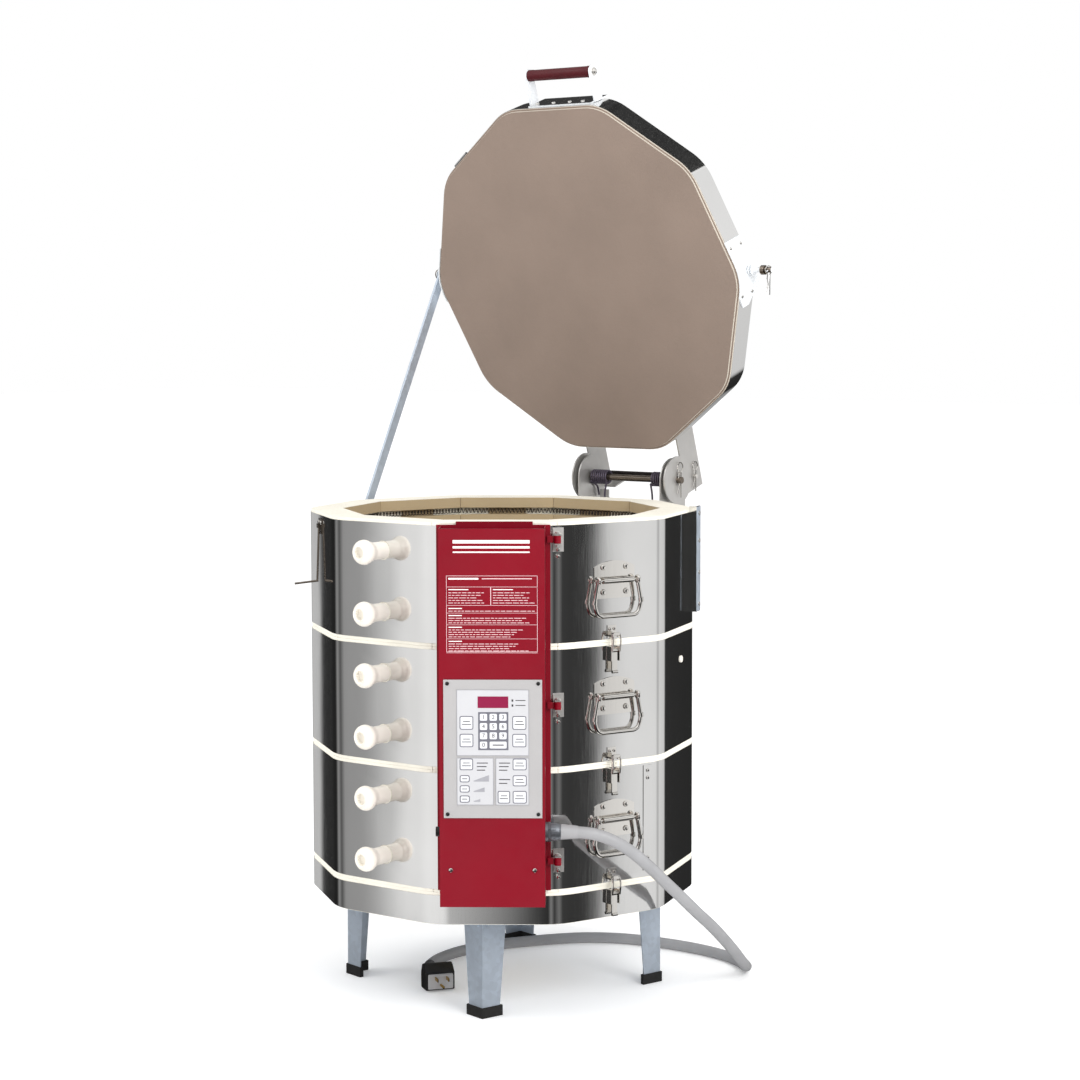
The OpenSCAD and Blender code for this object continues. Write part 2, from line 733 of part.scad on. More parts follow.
module cord_gland() {
    color("#6f7378") on_face(BOX_FACE) {
        cross_bar(box_x1, box_x1 + 5, gland_y, gland_z, 36);
        cross_bar(box_x1 + 5, box_x1 + gland_len, gland_y, gland_z, 29);
        cross_bar(box_x1 - box_sheet - 6, box_x1, gland_y, gland_z, 19);
    }
}

// ---------------------------------------------------------------- lid

module lid_slab() {
    color("#8a7669") lid_place() {
        rounded_prism(-5, lid_z0, lid_z0 + 3);
        rounded_prism(-sheet_t, lid_z0 + 3, lid_z1);
    }
}
module lid_band() {
    color("#c9cacc") lid_place() {
        shell(0, sheet_t, lid_z0 + lid_proud, lid_z1);
        on_face(9) {
            block([-86, -62], [apothem, apothem + 3], [lid_z0 + 22, lid_z0 + 42]);
            cross_bar(-94, -50, apothem + 8, lid_z0 + 32, 7);
        }
    }
}
handle_z = lid_z0 + 38;
module lid_handle_frame() {
    color("#e4e4e4") lid_place() {
        block([grip_x - grip_half, grip_x + grip_half], [apothem, apothem + 2], [lid_z0 + 14, lid_z1 + 16]);
        for (x = [-50, -10, 30, 62]) screw(x, lid_z0 + 30, apothem + 2);
        for (side = [-1, 1]) translate([grip_x + side * (grip_half + handle_bar_t / 2), 0, 0]) {
            half_t = handle_bar_t / 2;
            block([-half_t, half_t], [apothem, apothem + grip_out],
                [handle_z - handle_bar_w / 2, handle_z + handle_bar_w / 2]);
            cross_bar(-half_t, half_t, apothem + grip_out, handle_z, handle_bar_w);
        }
    }
}
module lid_handle_grip() {
    color("#4e1218") lid_place() {
        cross_bar(grip_x - grip_half, grip_x + grip_half, apothem + grip_out, handle_z, grip_d);
        for (side = [-1, 1]) translate([grip_x + side * (grip_half + handle_bar_t + 2), 0, 0])
            cross_bar(-2, 2, apothem + grip_out, handle_z, 9);
    }
}
module lid_hinge_plates() {
    side_t = 3;
    web_t = 2;
    color("#c4c4c4") lid_place() {
        difference() {
            for (x = [-lid_plate_x - side_t, lid_plate_x]) {
                side_plate(x, side_t, [
                    [lid_plate_front, lid_z1], [lid_plate_front, lid_z1 + 20],
                    [lid_plate_front + 80, hinge_z + lid_plate_up], [lid_plate_back, hinge_z + lid_plate_up],
                    [lid_plate_back, hinge_z + 15], [hinge_y, hinge_z],
                    [hinge_y - lid_plate_r + 6, lid_z1]
                ]);
                side_disc(x, side_t, lid_plate_r, hinge_y, hinge_z);
            }
            side_disc(-rod_half, 2 * rod_half, rod_d / 2 + pin_gap, hinge_y, hinge_z);
        }
        on_face(BACK) for (x = [[-lid_plate_x, -78], [78, lid_plate_x]])
            block(x, [lid_plate_back - side_t, lid_plate_back], [hinge_z + 42, hinge_z + lid_plate_up]);
        difference() {
            on_face(BACK)
                block([-lid_plate_x, lid_plate_x], [lid_plate_front, apothem - 4], [lid_z1, lid_z1 + web_t]);
            for (x = [-45, 45]) translate([x, 275, lid_z1 - 1]) cylinder(d = 40, h = web_t + 2);
        }
        side_disc(-lid_plate_x, 2 * lid_plate_x, 4, spring_pin[0], spring_pin[1]);
        for (x = [-100, -15, 15, 100], y = [215, 340]) translate([x, y, lid_z1 + web_t])
            cylinder(d = 8, h = 2.5);
    }
}
bracket_t = 2.5;
// Distance from the axis to the middle of a rounded corner
plan_corner = (apothem - corner_r) / cos(HALF) + corner_r - 0.5;
module lid_pivot_brackets() {
    color("#d8d8d8") lid_place() {
        intersection() {
            shell(bracket_t, bracket_t, lid_z0 - 5, lid_z1 + 20);
            side_plate(-400, 800, [
                [-75, lid_z0 + 2], [38, lid_z0 + 2], [62, lid_z0 + 20], [62, lid_z0 + 40],
                [24, lid_z1 + 14], [-20, lid_z1 + 16], [-75, lid_z1 - 2]
            ]);
        }
        for (end = [[374, 428], [-410, -374]])
            side_disc(end[0], end[1] - end[0], arm_pin_d / 2, arm_pin_y, arm_pin_z);
        for (x = [377, 384, -383, -406]) side_disc(x, 2.5, 10, arm_pin_y, arm_pin_z);
        side_disc(404, 9, 8.5, arm_pin_y, arm_pin_z);
        translate([421, arm_pin_y, arm_pin_z - 9]) cylinder(d = 2.4, h = 18);
        for (z = [lid_z0 + 10, lid_z0 + 47]) {
            for (spot = [[2, 54], [3, -80], [7, 80], [8, -54]])
                on_face(spot[0]) screw(spot[1], z, apothem + bracket_t, 6, 2);
            for (k = [2.5, 7.5]) on_face(k) screw(k < 5 ? -9 : 9, z, plan_corner + bracket_t, 6, 2);
        }
    }
}

// ---------------------------------------------------------------- mains cord

function unit(v) = v / norm(v);
function route_way(points, i) =
    unit(points[min(i + 1, len(points) - 1)] - points[max(i - 1, 0)]);
function cord_ring(points, i, r) =
    let (way = route_way(points, i), side = unit(cross(way, [0, 0, 1])), up = cross(side, way))
    [for (j = [0 : CORD_SIDES - 1])
        points[i] + r * (cos(360 * j / CORD_SIDES) * side + sin(360 * j / CORD_SIDES) * up)];
module cord_tube(points, dia) {
    n = len(points);
    m = CORD_SIDES;
    polyhedron(
        points = [for (i = [0 : n - 1]) each cord_ring(points, i, dia / 2)],
        faces = concat(
            [[for (j = [0 : m - 1]) j]],
            [for (i = [0 : n - 2], j = [0 : m - 1])
                each [[i * m + j, (i + 1) * m + j, i * m + (j + 1) % m],
                      [i * m + (j + 1) % m, (i + 1) * m + j, (i + 1) * m + (j + 1) % m]]],
            [[for (j = [m - 1 : -1 : 0]) (n - 1) * m + j]]
        )
    );
}
module stub_limit(r) {
    on_face(BOX_FACE) translate([box_pivot[0], -box_pivot[1], gland_z - 60]) cylinder(r = r, h = 90);
}
// The cord's first stretch turns with the control box, inside a cylinder round its hinge
module power_cord_stub() {
    color("#9a9a9c") intersection() {
        cord_tube([for (i = [0 : 3]) CORD_ROUTE[i]], cord_d);
        stub_limit(stub_r - touch / 2);
    }
}
module power_cord() {
    color("#9a9a9c") difference() {
        cord_tube(CORD_ROUTE, cord_d);
        stub_limit(stub_r + touch / 2);
    }
}
module power_plug() {
    color("#151515") translate([plug_at[0], plug_at[1], 0]) rotate([0, 0, plug_turn]) {
        difference() {
            translate([0, -30, 2]) cube([44, 60, 52]);
            translate([20, -31, 40]) rotate([0, 40, 0]) cube([60, 62, 30]);
        }
        for (y = [-11, 11]) translate([44, y - 1, 24]) cube([18, 2, 7]);
        translate([44, 0, 14]) rotate([0, 90, 0]) cylinder(d = 5, h = 22);
    }
}

// ---------------------------------------------------------------- drawing

stand_pan();
stand_legs();
stand_feet();
floor_slab();
floor_band();
bottom_ring_bricks();
middle_ring_bricks();
top_ring_bricks();
bottom_ring_jacket();
middle_ring_jacket();
top_ring_jacket();
heating_elements();
element_terminals();
thermocouple();
box_hinge_brackets();
handle_plates();
latch_plates();
hinge_cheeks();
hinge_rod();
hinge_springs();
arm_bracket();
wire_hook();
peephole_plug_1();
peephole_plug_2();
peephole_plug_3();
peephole_plug_4();
peephole_plug_5();
peephole_plug_6();
lift_bail_1();
lift_bail_2();
lift_bail_3();
lift_bail_4();
lift_bail_5();
lift_bail_6();
latch_lever_1();
latch_lever_2();
latch_lever_3();
latch_lever_4();
latch_lever_5();
latch_lever_6();
box_cover();
box_back_plate();
keypad_panel();
keypad_membrane();
circuit_board();
transformer();
relays();
fuse_holder();
cord_gland();
lid_slab();
lid_band();
lid_handle_frame();
lid_handle_grip();
lid_hinge_plates();
lid_pivot_brackets();
lid_arm();
arm_guide();
power_cord_stub();
power_cord();
power_plug();
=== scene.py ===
"""Looks of a ten-sided electric pottery kiln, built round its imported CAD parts, in the CAD's own frame."""
import random
from math import cos, pi, radians, sin, tan

import bmesh
import bpy
from mathutils import Matrix, Vector


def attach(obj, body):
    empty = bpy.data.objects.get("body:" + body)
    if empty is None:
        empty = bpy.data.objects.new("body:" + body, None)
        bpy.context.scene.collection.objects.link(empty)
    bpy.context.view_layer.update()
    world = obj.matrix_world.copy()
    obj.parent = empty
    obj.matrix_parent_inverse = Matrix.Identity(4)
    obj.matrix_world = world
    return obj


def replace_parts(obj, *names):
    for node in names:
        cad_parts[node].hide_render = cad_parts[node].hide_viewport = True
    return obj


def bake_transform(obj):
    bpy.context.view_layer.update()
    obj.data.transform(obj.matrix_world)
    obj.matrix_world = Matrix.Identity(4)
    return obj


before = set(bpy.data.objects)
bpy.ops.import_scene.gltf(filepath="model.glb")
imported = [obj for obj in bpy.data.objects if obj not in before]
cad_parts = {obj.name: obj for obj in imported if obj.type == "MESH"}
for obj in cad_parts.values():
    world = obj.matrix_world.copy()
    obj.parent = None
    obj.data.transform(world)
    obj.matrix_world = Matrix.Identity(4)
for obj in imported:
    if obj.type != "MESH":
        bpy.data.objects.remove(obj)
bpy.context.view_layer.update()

MM = 0.001
random.seed(7)

# Sizes and places that repeat part.scad, in millimetres and degrees
SIDES = 10
STEP = 360 / SIDES
APOTHEM = 360
RING_Z0 = 250
RING_H = 228
ROW_PITCH = RING_H / 4
RIM_Z = RING_Z0 + 3 * RING_H
LID_Z0 = RIM_Z + 0.3
LID_Z1 = LID_Z0 + 57
HINGE_Y = 438
HINGE_Z = 970
ANCHOR_Y = 451
ANCHOR_Z = 1027
PIVOT_Y = -8
PIVOT_Z = 975
GRIP_X = 15
GRIP_DIST = 418
GRIP_Z = 972.3
LID_ANGLE = 71.9
BOX_FACE = 1
BOX_FRONT = 435
KEYPAD_TOP = 437.8
HANDLE_FACES = (2, 7)
HANDLE_X = 8
HANDLE_ZS = (376, 606, 822)
BARREL_DIST = 372
LATCH_X = 2
LATCH_ZS = (250, 478, 706)
PLATE_DIST = 361.5
CHANNEL_DIST = 375
CHANNEL_Z = (736, 939)
GLAND_Z = 372
CORD_D = 22
# Points chosen along the cord, from the gland to the plug
CORD_ROUTE = [
    (333, -252, 372), (358, -234, 371), (384, -215, 367), (408, -194, 355), (427, -165, 333),
    (440, -130, 303), (448, -85, 265), (451, -35, 227), (449, 20, 188), (442, 80, 150),
    (430, 140, 112), (415, 200, 74), (397, 258, 38), (374, 308, 16), (338, 344, 11),
    (294, 368, 11), (245, 381, 11), (195, 387, 11), (145, 387, 11), (95, 382, 11),
    (45, 372, 11), (-2, 352, 11), (-44, 322, 11), (-78, 283, 11), (-108, 238, 11),
    (-137, 190, 11), (-160, 138, 11), (-172, 84, 11), (-172, 30, 11), (-160, -22, 11),
    (-136, -70, 11), (-102, -110, 13), (-62, -138, 18),
]
PLUG_AT = (-59.6, -139.7, 0)
PLUG_TURN = -35


# ------------------------------------------------------------------ camera

def set_camera():
    """The photograph's viewpoint, solved from the kiln's own corners."""
    yaw, pitch, roll = radians(127.28), radians(-4.93), radians(0.11)
    data = bpy.data.cameras.new("photo_camera")
    data.lens = 87.46
    data.sensor_width = 36
    camera = bpy.data.objects.new("photo_camera", data)
    bpy.context.scene.collection.objects.link(camera)
    look = Vector((cos(pitch) * cos(yaw), cos(pitch) * sin(yaw), sin(pitch)))
    camera.rotation_mode = "QUATERNION"
    level = look.to_track_quat("-Z", "Y")
    camera.rotation_quaternion = Matrix.Rotation(roll, 3, look).to_quaternion() @ level
    camera.location = Vector((3158.4, -4025.3, 1311.8)) * MM
    bpy.context.scene.camera = camera


set_camera()


# ------------------------------------------------------------------ places

def on_face(k):
    """A face's own frame: x to the right, -y outward, as in part.scad."""
    return Matrix.Rotation(radians(k * STEP), 4, "Z")


def spot(x, dist, z):
    """A place on a face: along it, out from the kiln's axis, and up."""
    return Vector((x, -dist, z))


LID = (
    Matrix.Translation((0, HINGE_Y, HINGE_Z))
    @ Matrix.Rotation(radians(-LID_ANGLE), 4, "X")
    @ Matrix.Translation((0, -HINGE_Y, -HINGE_Z))
)


def outward(x, dist, z):
    """Places a part that stands along +z so that it stands out from the face."""
    return Matrix.Translation(spot(x, dist, z)) @ Matrix.Rotation(radians(90), 4, "X")


# ------------------------------------------------------------------ mesh parts, each (points, faces)

def sweep(rings, closed=False):
    """Joins rings of points into a skin, with a cap at each open end."""
    n, m = len(rings), len(rings[0])
    points = [p for ring in rings for p in ring]
    faces = []
    for i in range(n if closed else n - 1):
        a, b = i * m, (i + 1) % n * m
        faces += [(a + j, a + (j + 1) % m, b + (j + 1) % m, b + j) for j in range(m)]
    if not closed:
        faces += [tuple(range(m))[::-1], tuple(range((n - 1) * m, n * m))]
    return points, faces


def tube(path, dia, sides=12, closed=False):
    """Round bar along a path; dia is one size or a size for each point."""
    path = [Vector(p) for p in path]
    n = len(path)
    sizes = dia if isinstance(dia, list) else [dia] * n
    rings, side = [], None
    for i, p in enumerate(path):
        before = path[(i - 1) % n] if closed else path[max(i - 1, 0)]
        after = path[(i + 1) % n] if closed else path[min(i + 1, n - 1)]
        way = (after - before).normalized()
        if side is None:
            side = way.orthogonal().normalized()
        side = (side - way * side.dot(way)).normalized()
        up = way.cross(side)
        turns = [2 * pi * j / sides for j in range(sides)]
        rings.append([p + (side * cos(t) + up * sin(t)) * sizes[i] / 2 for t in turns])
    return sweep(rings, closed)


def rounded(points, radius, steps=5):
    """The path with its corners drawn as curves."""
    points = [Vector(p) for p in points]
    path = [points[0]]
    for a, b, c in zip(points, points[1:], points[2:]):
        cut = min(radius, (a - b).length * 0.48, (c - b).length * 0.48)
        p, q = b + (a - b).normalized() * cut, b + (c - b).normalized() * cut
        for i in range(steps + 1):
            t = i / steps
            path.append(p * (1 - t) ** 2 + b * 2 * t * (1 - t) + q * t * t)
    return path + [points[-1]]


def flowing(points, steps=4):
    """A Catmull-Rom curve through the points."""
    points = [Vector(p) for p in points]
    ends = [points[0] * 2 - points[1]] + points + [points[-1] * 2 - points[-2]]
    path = []
    for a, b, c, d in zip(ends, ends[1:], ends[2:], ends[3:]):
        for i in range(steps):
            t = i / steps
            square, cube = a * 2 - b * 5 + c * 4 - d, b * 3 - a - c * 3 + d
            path.append((b * 2 + (c - a) * t + square * t**2 + cube * t**3) / 2)
    return path + [points[-1]]


def lathe(profile, sides=40):
    """Turned solid about z from (radius, height) points."""
    rings = []
    for radius, height in profile:
        turns = [2 * pi * j / sides for j in range(sides)]
        rings.append([Vector((radius * cos(t), radius * sin(t), height)) for t in turns])
    return sweep(rings)


def arc(centre, radius, start, end, steps=6):
    """Points of an arc, in degrees, as (across, up)."""
    angles = [radians(start + (end - start) * i / steps) for i in range(steps + 1)]
    return [(centre[0] + radius * cos(a), centre[1] + radius * sin(a)) for a in angles]


def slab(x, dist, z):
    """Block on a face: ranges along it, outward from the axis, and up."""
    corners = [Vector((cx, -cd, cz)) for cz in z for cx, cd in
               ((x[0], dist[0]), (x[1], dist[0]), (x[1], dist[1]), (x[0], dist[1]))]
    return sweep([corners[:4], corners[4:]])


def dome(dia, height, rim=0.35):
    """Pan head or rivet, standing on z = 0."""
    low = height * rim
    curve = [(dia / 2 * cos(a), low + (height - low) * sin(a)) for a in (0, 0.35, 0.7, 1.05, 1.4)]
    return lathe([(dia / 2, 0)] + curve + [(dia * 0.02, height)], 20)


def helix(along, radius, pitch, dia, sides, per_turn):
    """Coil round a path: along(s) is (point, outward, up) at that distance, along(None) the length."""
    length = along(None)
    count = int(length / pitch * per_turn)
    path = []
    for i in range(count + 1):
        s = length * i / count
        middle, out, up = along(s)
        turn = 2 * pi * s / pitch
        path.append(middle + (out * cos(turn) + up * sin(turn)) * radius)
    return tube(path, dia, sides)


class Shape:
    """Gathers parts in millimetres and makes one piece of them, in metres."""

    def __init__(self):
        self.points, self.faces = [], []

    def add(self, part, place=Matrix()):
        base = len(self.points)
        self.points += [(place @ Vector(p)) * MM for p in part[0]]
        self.faces += [[base + i for i in face] for face in part[1]]
        return self

    def piece(self, name, material, slot, body="root", bevel=0.0, angle=40):
        mesh = bpy.data.meshes.new(name)
        mesh.from_pydata(self.points, [], self.faces)
        mesh.materials.append(material)
        work = bmesh.new()
        work.from_mesh(mesh)
        bmesh.ops.recalc_face_normals(work, faces=work.faces)
        work.to_mesh(mesh)
        work.free()
        mesh.polygons.foreach_set("use_smooth", [True] * len(mesh.polygons))
        mesh.set_sharp_from_angle(angle=radians(angle))
        obj = bpy.data.objects.new(name, mesh)
        bpy.context.scene.collection.objects.link(obj)
        if bevel:
            add_bevel(obj, bevel, angle)
        if body:
            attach(obj, body)
        return obj


def add_bevel(obj, width, angle=40, segments=2):
    edge = obj.modifiers.new("edges", "BEVEL")
    edge.width = width * MM
    edge.segments = segments
    edge.limit_method = "ANGLE"
    edge.angle_limit = radians(angle)
    edge.harden_normals = True


# ------------------------------------------------------------------ materials

class Graph:
    """A material's node tree, drawn over the object's own coordinates."""

    def __init__(self, name):
        self.material = bpy.data.materials.new(name)
        self.material.use_nodes = True
        self.tree = self.material.node_tree
        self.shader = self.tree.nodes["Principled BSDF"]
        self.coords = self.node("ShaderNodeTexCoord").outputs["Object"]

    def node(self, kind, inputs=None, **settings):
        node = self.tree.nodes.new(kind)
        for key, value in settings.items():
            setattr(node, key, value)
        for key, value in (inputs or {}).items():
            self.feed(node.inputs[key], value)
        return node

    def feed(self, socket, value):
        if isinstance(value, bpy.types.NodeSocket):
            self.tree.links.new(value, socket)
        else:
            socket.default_value = value

    def set(self, **sockets):
        for key, value in sockets.items():
            self.feed(self.shader.inputs[key.replace("_", " ")], value)

    def stretched(self, scale):
        return self.node("ShaderNodeMapping", {"Vector": self.coords, "Scale": scale}).outputs[0]

    def noise(self, scale, detail=4, stretch=None):
        where = self.stretched(stretch) if stretch else self.coords
        return self.node(
            "ShaderNodeTexNoise", {"Vector": where, "Scale": scale, "Detail": detail}
        ).outputs["Fac"]

    def cells(self, scale, feature="F1", output="Distance"):
        return self.node(
            "ShaderNodeTexVoronoi", {"Vector": self.coords, "Scale": scale}, feature=feature
        ).outputs[output]

    def math(self, operation, a, b=0.0):
        return self.node("ShaderNodeMath", {0: a, 1: b}, operation=operation).outputs[0]

    def between(self, factor, low, high, start=0.3, end=0.7):
        """A number that goes from low to high as the factor goes from start to end."""
        return self.node("ShaderNodeMapRange", {
            "Value": factor, "From Min": start, "From Max": end, "To Min": low, "To Max": high,
        }).outputs[0]

    def tint(self, factor, a, b):
        node = self.node("ShaderNodeMix", data_type="RGBA")
        self.feed(node.inputs[0], factor)
        self.feed(node.inputs[6], a)
        self.feed(node.inputs[7], b)
        return node.outputs[2]

    def bump(self, height, depth, strength=1.0, under=None):
        node = self.node("ShaderNodeBump", {"Height": height, "Distance": depth, "Strength": strength})
        if under:
            self.feed(node.inputs["Normal"], under)
        return node.outputs[0]


def rgb(r, g, b):
    """Linear colour from the numbers an eyedropper shows."""
    def linear(c):
        c /= 255
        return c / 12.92 if c <= 0.04045 else ((c + 0.055) / 1.055) ** 2.4
    return (linear(r), linear(g), linear(b), 1)


def shade(colour, factor):
    return tuple(min(c * factor, 1) for c in colour[:3]) + (1,)


def worn(name, colour, rough=0.5, metal=0.0, vary=0.08, patch=12, grain=350, depth=0.0002,
         spread=0.08, stretch=None, **sockets):
    """A surface with slow colour drift, uneven roughness and a fine grain."""
    g = Graph(name)
    drift = g.between(g.noise(patch, 6, stretch), 0, 1)
    g.set(Metallic=metal, Base_Color=g.tint(drift, shade(colour, 1 - vary), shade(colour, 1 + vary)))
    g.set(Roughness=g.between(g.noise(grain / 6, 5, stretch), max(rough - spread, 0.02), rough + spread))
    g.set(Normal=g.bump(g.noise(grain, 3, stretch), depth))
    g.set(**sockets)
    return g.material


def polished_steel(name, colour, rough, wave):
    """Mirror-bright sheet with shallow waves and faint upright rolling marks."""
    g = Graph(name)
    marks = g.noise(60, 3, (8, 8, 0.35))
    drift = g.between(g.noise(5, 4), 0, 1)
    g.set(Metallic=1.0, Base_Color=g.tint(drift, shade(colour, 0.95), shade(colour, 1.03)))
    g.set(Roughness=g.between(marks, rough * 0.7, rough * 1.4))
    waves = g.bump(g.noise(3.2, 2, (1, 1, 0.55)), wave)
    g.set(Normal=g.bump(marks, 0.00001, 0.6, waves))
    return g.material


# The way the open lid's underside faces, and the radius in metres inside which the chamber's brick below the
# rim gets a painted shade tan
LID_FACE = (0, -sin(radians(LID_ANGLE)), -cos(radians(LID_ANGLE)))
SHADED_CHAMBER_RADIUS = 0.3125


def firebrick(name, colour, pore=0.35, chamber_shade=None, edge_light_colour=None):
    """Soft insulating brick: chalky, pitted, uneven in colour, with painted shade (a darker tan) on the
    chamber walls below the rim, and painted light on the lid's side and bevel faces.
    """
    g = Graph(name)
    drift = g.between(g.noise(7, 6), 0, 1)
    pits = g.between(g.cells(420), 0, 1, 0.05, 0.32)
    base = g.tint(drift, shade(colour, 0.93), shade(colour, 1.04))
    # painted shade: chamber walls inside the radius and below the rim are drawn in a darker tan
    if chamber_shade:
        at = g.node("ShaderNodeSeparateXYZ", {0: g.coords}).outputs
        x_squared, y_squared = (g.math("MULTIPLY", at[i], at[i]) for i in (0, 1))
        across = g.math("SQRT", g.math("ADD", x_squared, y_squared))
        below_rim = g.math("LESS_THAN", at[2], (RIM_Z - 1) * MM)
        inside = g.math("MULTIPLY", g.math("LESS_THAN", across, SHADED_CHAMBER_RADIUS), below_rim)
        base = g.tint(inside, base, g.tint(drift, shade(chamber_shade, 0.9), chamber_shade))
    # painted light: faces turned away from the lid's underside (sides and bevels) are drawn lighter
    if edge_light_colour:
        normal = g.node("ShaderNodeTexCoord").outputs["Normal"]
        dot = g.node("ShaderNodeVectorMath", {0: normal, 1: LID_FACE}, operation="DOT_PRODUCT")
        turned_away = g.between(dot.outputs["Value"], 1, 0, 0.93, 0.995)
        base = g.tint(turned_away, base, g.tint(drift, shade(edge_light_colour, 0.9), edge_light_colour))
    speck = g.between(g.noise(900, 2), 1, 0, 0.3, 0.42)
    base = g.tint(g.math("MULTIPLY", speck, pore), base, shade(colour, 0.55))
    g.set(Base_Color=base, Roughness=g.between(g.noise(60), 0.85, 1.0))
    g.set(Normal=g.bump(pits, 0.0004, 0.5, g.bump(g.noise(160, 6), 0.0006, 0.5)))
    g.set(Specular_IOR_Level=0.2)
    return g.material


def enamel(name, colour):
    """Glossy paint over sheet steel, with a trace of orange peel."""
    g = Graph(name)
    drift = g.between(g.noise(4, 3), 0, 1)
    g.set(Base_Color=g.tint(drift, shade(colour, 0.92), shade(colour, 1.06)))
    g.set(Roughness=g.between(g.noise(30, 4), 0.3, 0.42))
    g.set(Normal=g.bump(g.noise(420, 2), 0.00004, 0.8))
    g.set(Coat_Weight=0.06, Coat_Roughness=0.2, Specular_IOR_Level=0.22)
    return g.material


def spangled(name, colour):
    """Galvanised sheet: flat crystals that differ a little in tone."""
    g = Graph(name)
    crystal = g.cells(110, output="Color")
    tone = g.node("ShaderNodeSeparateColor", {"Color": crystal}).outputs[0]
    g.set(Metallic=0.55, Base_Color=g.tint(tone, shade(colour, 0.93), shade(colour, 1.05)))
    g.set(Roughness=g.between(tone, 0.34, 0.52, 0, 1))
    g.set(Normal=g.bump(g.noise(300, 3), 0.00005))
    return g.material


CREAM = rgb(241, 237, 224)
# darker tan for the painted shade on the chamber walls
CHAMBER_SHADE_TAN = rgb(186, 166, 132)
TAUPE = rgb(140, 124, 113)
RED = rgb(130, 3, 27)
M = {
    # the chamber walls get a painted shade tan
    "brick": firebrick("firebrick", CREAM, chamber_shade=CHAMBER_SHADE_TAN),
    # the lid's side and bevel faces get a lighter painted light colour
    "lid_brick": firebrick("lid_firebrick", TAUPE, 0.18, edge_light_colour=rgb(206, 197, 184)),
    "jacket": polished_steel("jacket_steel", (0.78, 0.775, 0.765, 1), 0.075, 0.0016),
    "red": enamel("red_sheet", RED),
    "zinc": spangled("galvanised", rgb(190, 200, 212)),
    "rubber": worn("foot_rubber", rgb(30, 29, 28), 0.7, vary=0.2),
    "plate": worn("plate_steel", (0.60, 0.585, 0.565, 1), 0.4, 0.75, vary=0.06, grain=500, depth=0.00003),
    "nickel": polished_steel("nickel", (0.84, 0.815, 0.775, 1), 0.07, 0.0006),
    "rod": worn("rod_steel", rgb(128, 118, 108), 0.25, 1.0, stretch=(0.2, 1, 1)),
    "dark_rod": worn("dark_rod", rgb(62, 56, 54), 0.35, 0.9),
    "spring": worn("spring_steel", rgb(92, 84, 98), 0.33, 0.6, vary=0.15),
    "wire": worn("element_wire", rgb(66, 58, 52), 0.65, 0.4, vary=0.25),
    "ceramic": worn("white_ceramic", rgb(243, 238, 228), 0.42, vary=0.03, grain=500, depth=0.0001,
                    Coat_Weight=0.15),
    "white_bar": worn("white_bar", rgb(232, 235, 238), 0.32, 0.1, vary=0.03, Coat_Weight=0.2),
    "grip": worn("grip_plastic", rgb(76, 8, 18), 0.5, vary=0.12, grain=250, Specular_IOR_Level=0.3),
    "keypad": worn("keypad_grey", rgb(172, 170, 170), 0.42, vary=0.03, grain=700, depth=0.00004),
    "membrane": worn("membrane", rgb(196, 196, 199), 0.5, vary=0.02, grain=900, depth=0.00003),
    "key": worn("key_white", rgb(226, 227, 231), 0.4, vary=0.015, grain=700, depth=0.00003),
    "key_dark": worn("key_dark", rgb(108, 108, 118), 0.5, vary=0.05),
    "ramp": worn("ramp_grey", rgb(158, 158, 164), 0.5, vary=0.04),
    # dark ink for the keypad's print, also used as painted shade in screw recesses
    "ink": worn("ink", rgb(52, 50, 54), 0.6, vary=0.1),
    "print": worn("panel_print", rgb(226, 190, 194), 0.5, vary=0.04),
    "print_white": worn("panel_white", rgb(244, 240, 238), 0.5, vary=0.03),
    "board": worn("circuit", rgb(40, 96, 62), 0.4, vary=0.12),
    "dark": worn("dark_plastic", rgb(26, 26, 28), 0.42, vary=0.15),
    "gland": worn("gland_metal", rgb(128, 132, 138), 0.34, 0.8),
    "cord": worn("cord_grey", rgb(158, 158, 160), 0.5, vary=0.06, patch=20, grain=260, Coat_Weight=0.08),
    "plug": worn("plug_black", rgb(22, 21, 22), 0.45, vary=0.15),
    "brass": worn("brass", rgb(196, 160, 84), 0.25, 1.0, vary=0.08),
}


def display_glass():
    """Dark red window over unlit number segments, drawn as faint bars, with a faint painted glow from
    emission.
    """
    g = Graph("display")
    bars = g.node("ShaderNodeTexWave", {"Vector": g.stretched((1, 1, 0)), "Scale": 220}).outputs["Fac"]
    g.set(Base_Color=g.tint(g.between(bars, 0, 1), rgb(118, 4, 52), rgb(140, 8, 62)), Roughness=0.3)
    # painted glow: a weak emission, though the display is not lit
    g.set(Emission_Color=rgb(170, 10, 80), Emission_Strength=0.12, Coat_Weight=0.1)
    return g.material


M["display"] = display_glass()


# ------------------------------------------------------------------ CAD parts: finishes and eased edges

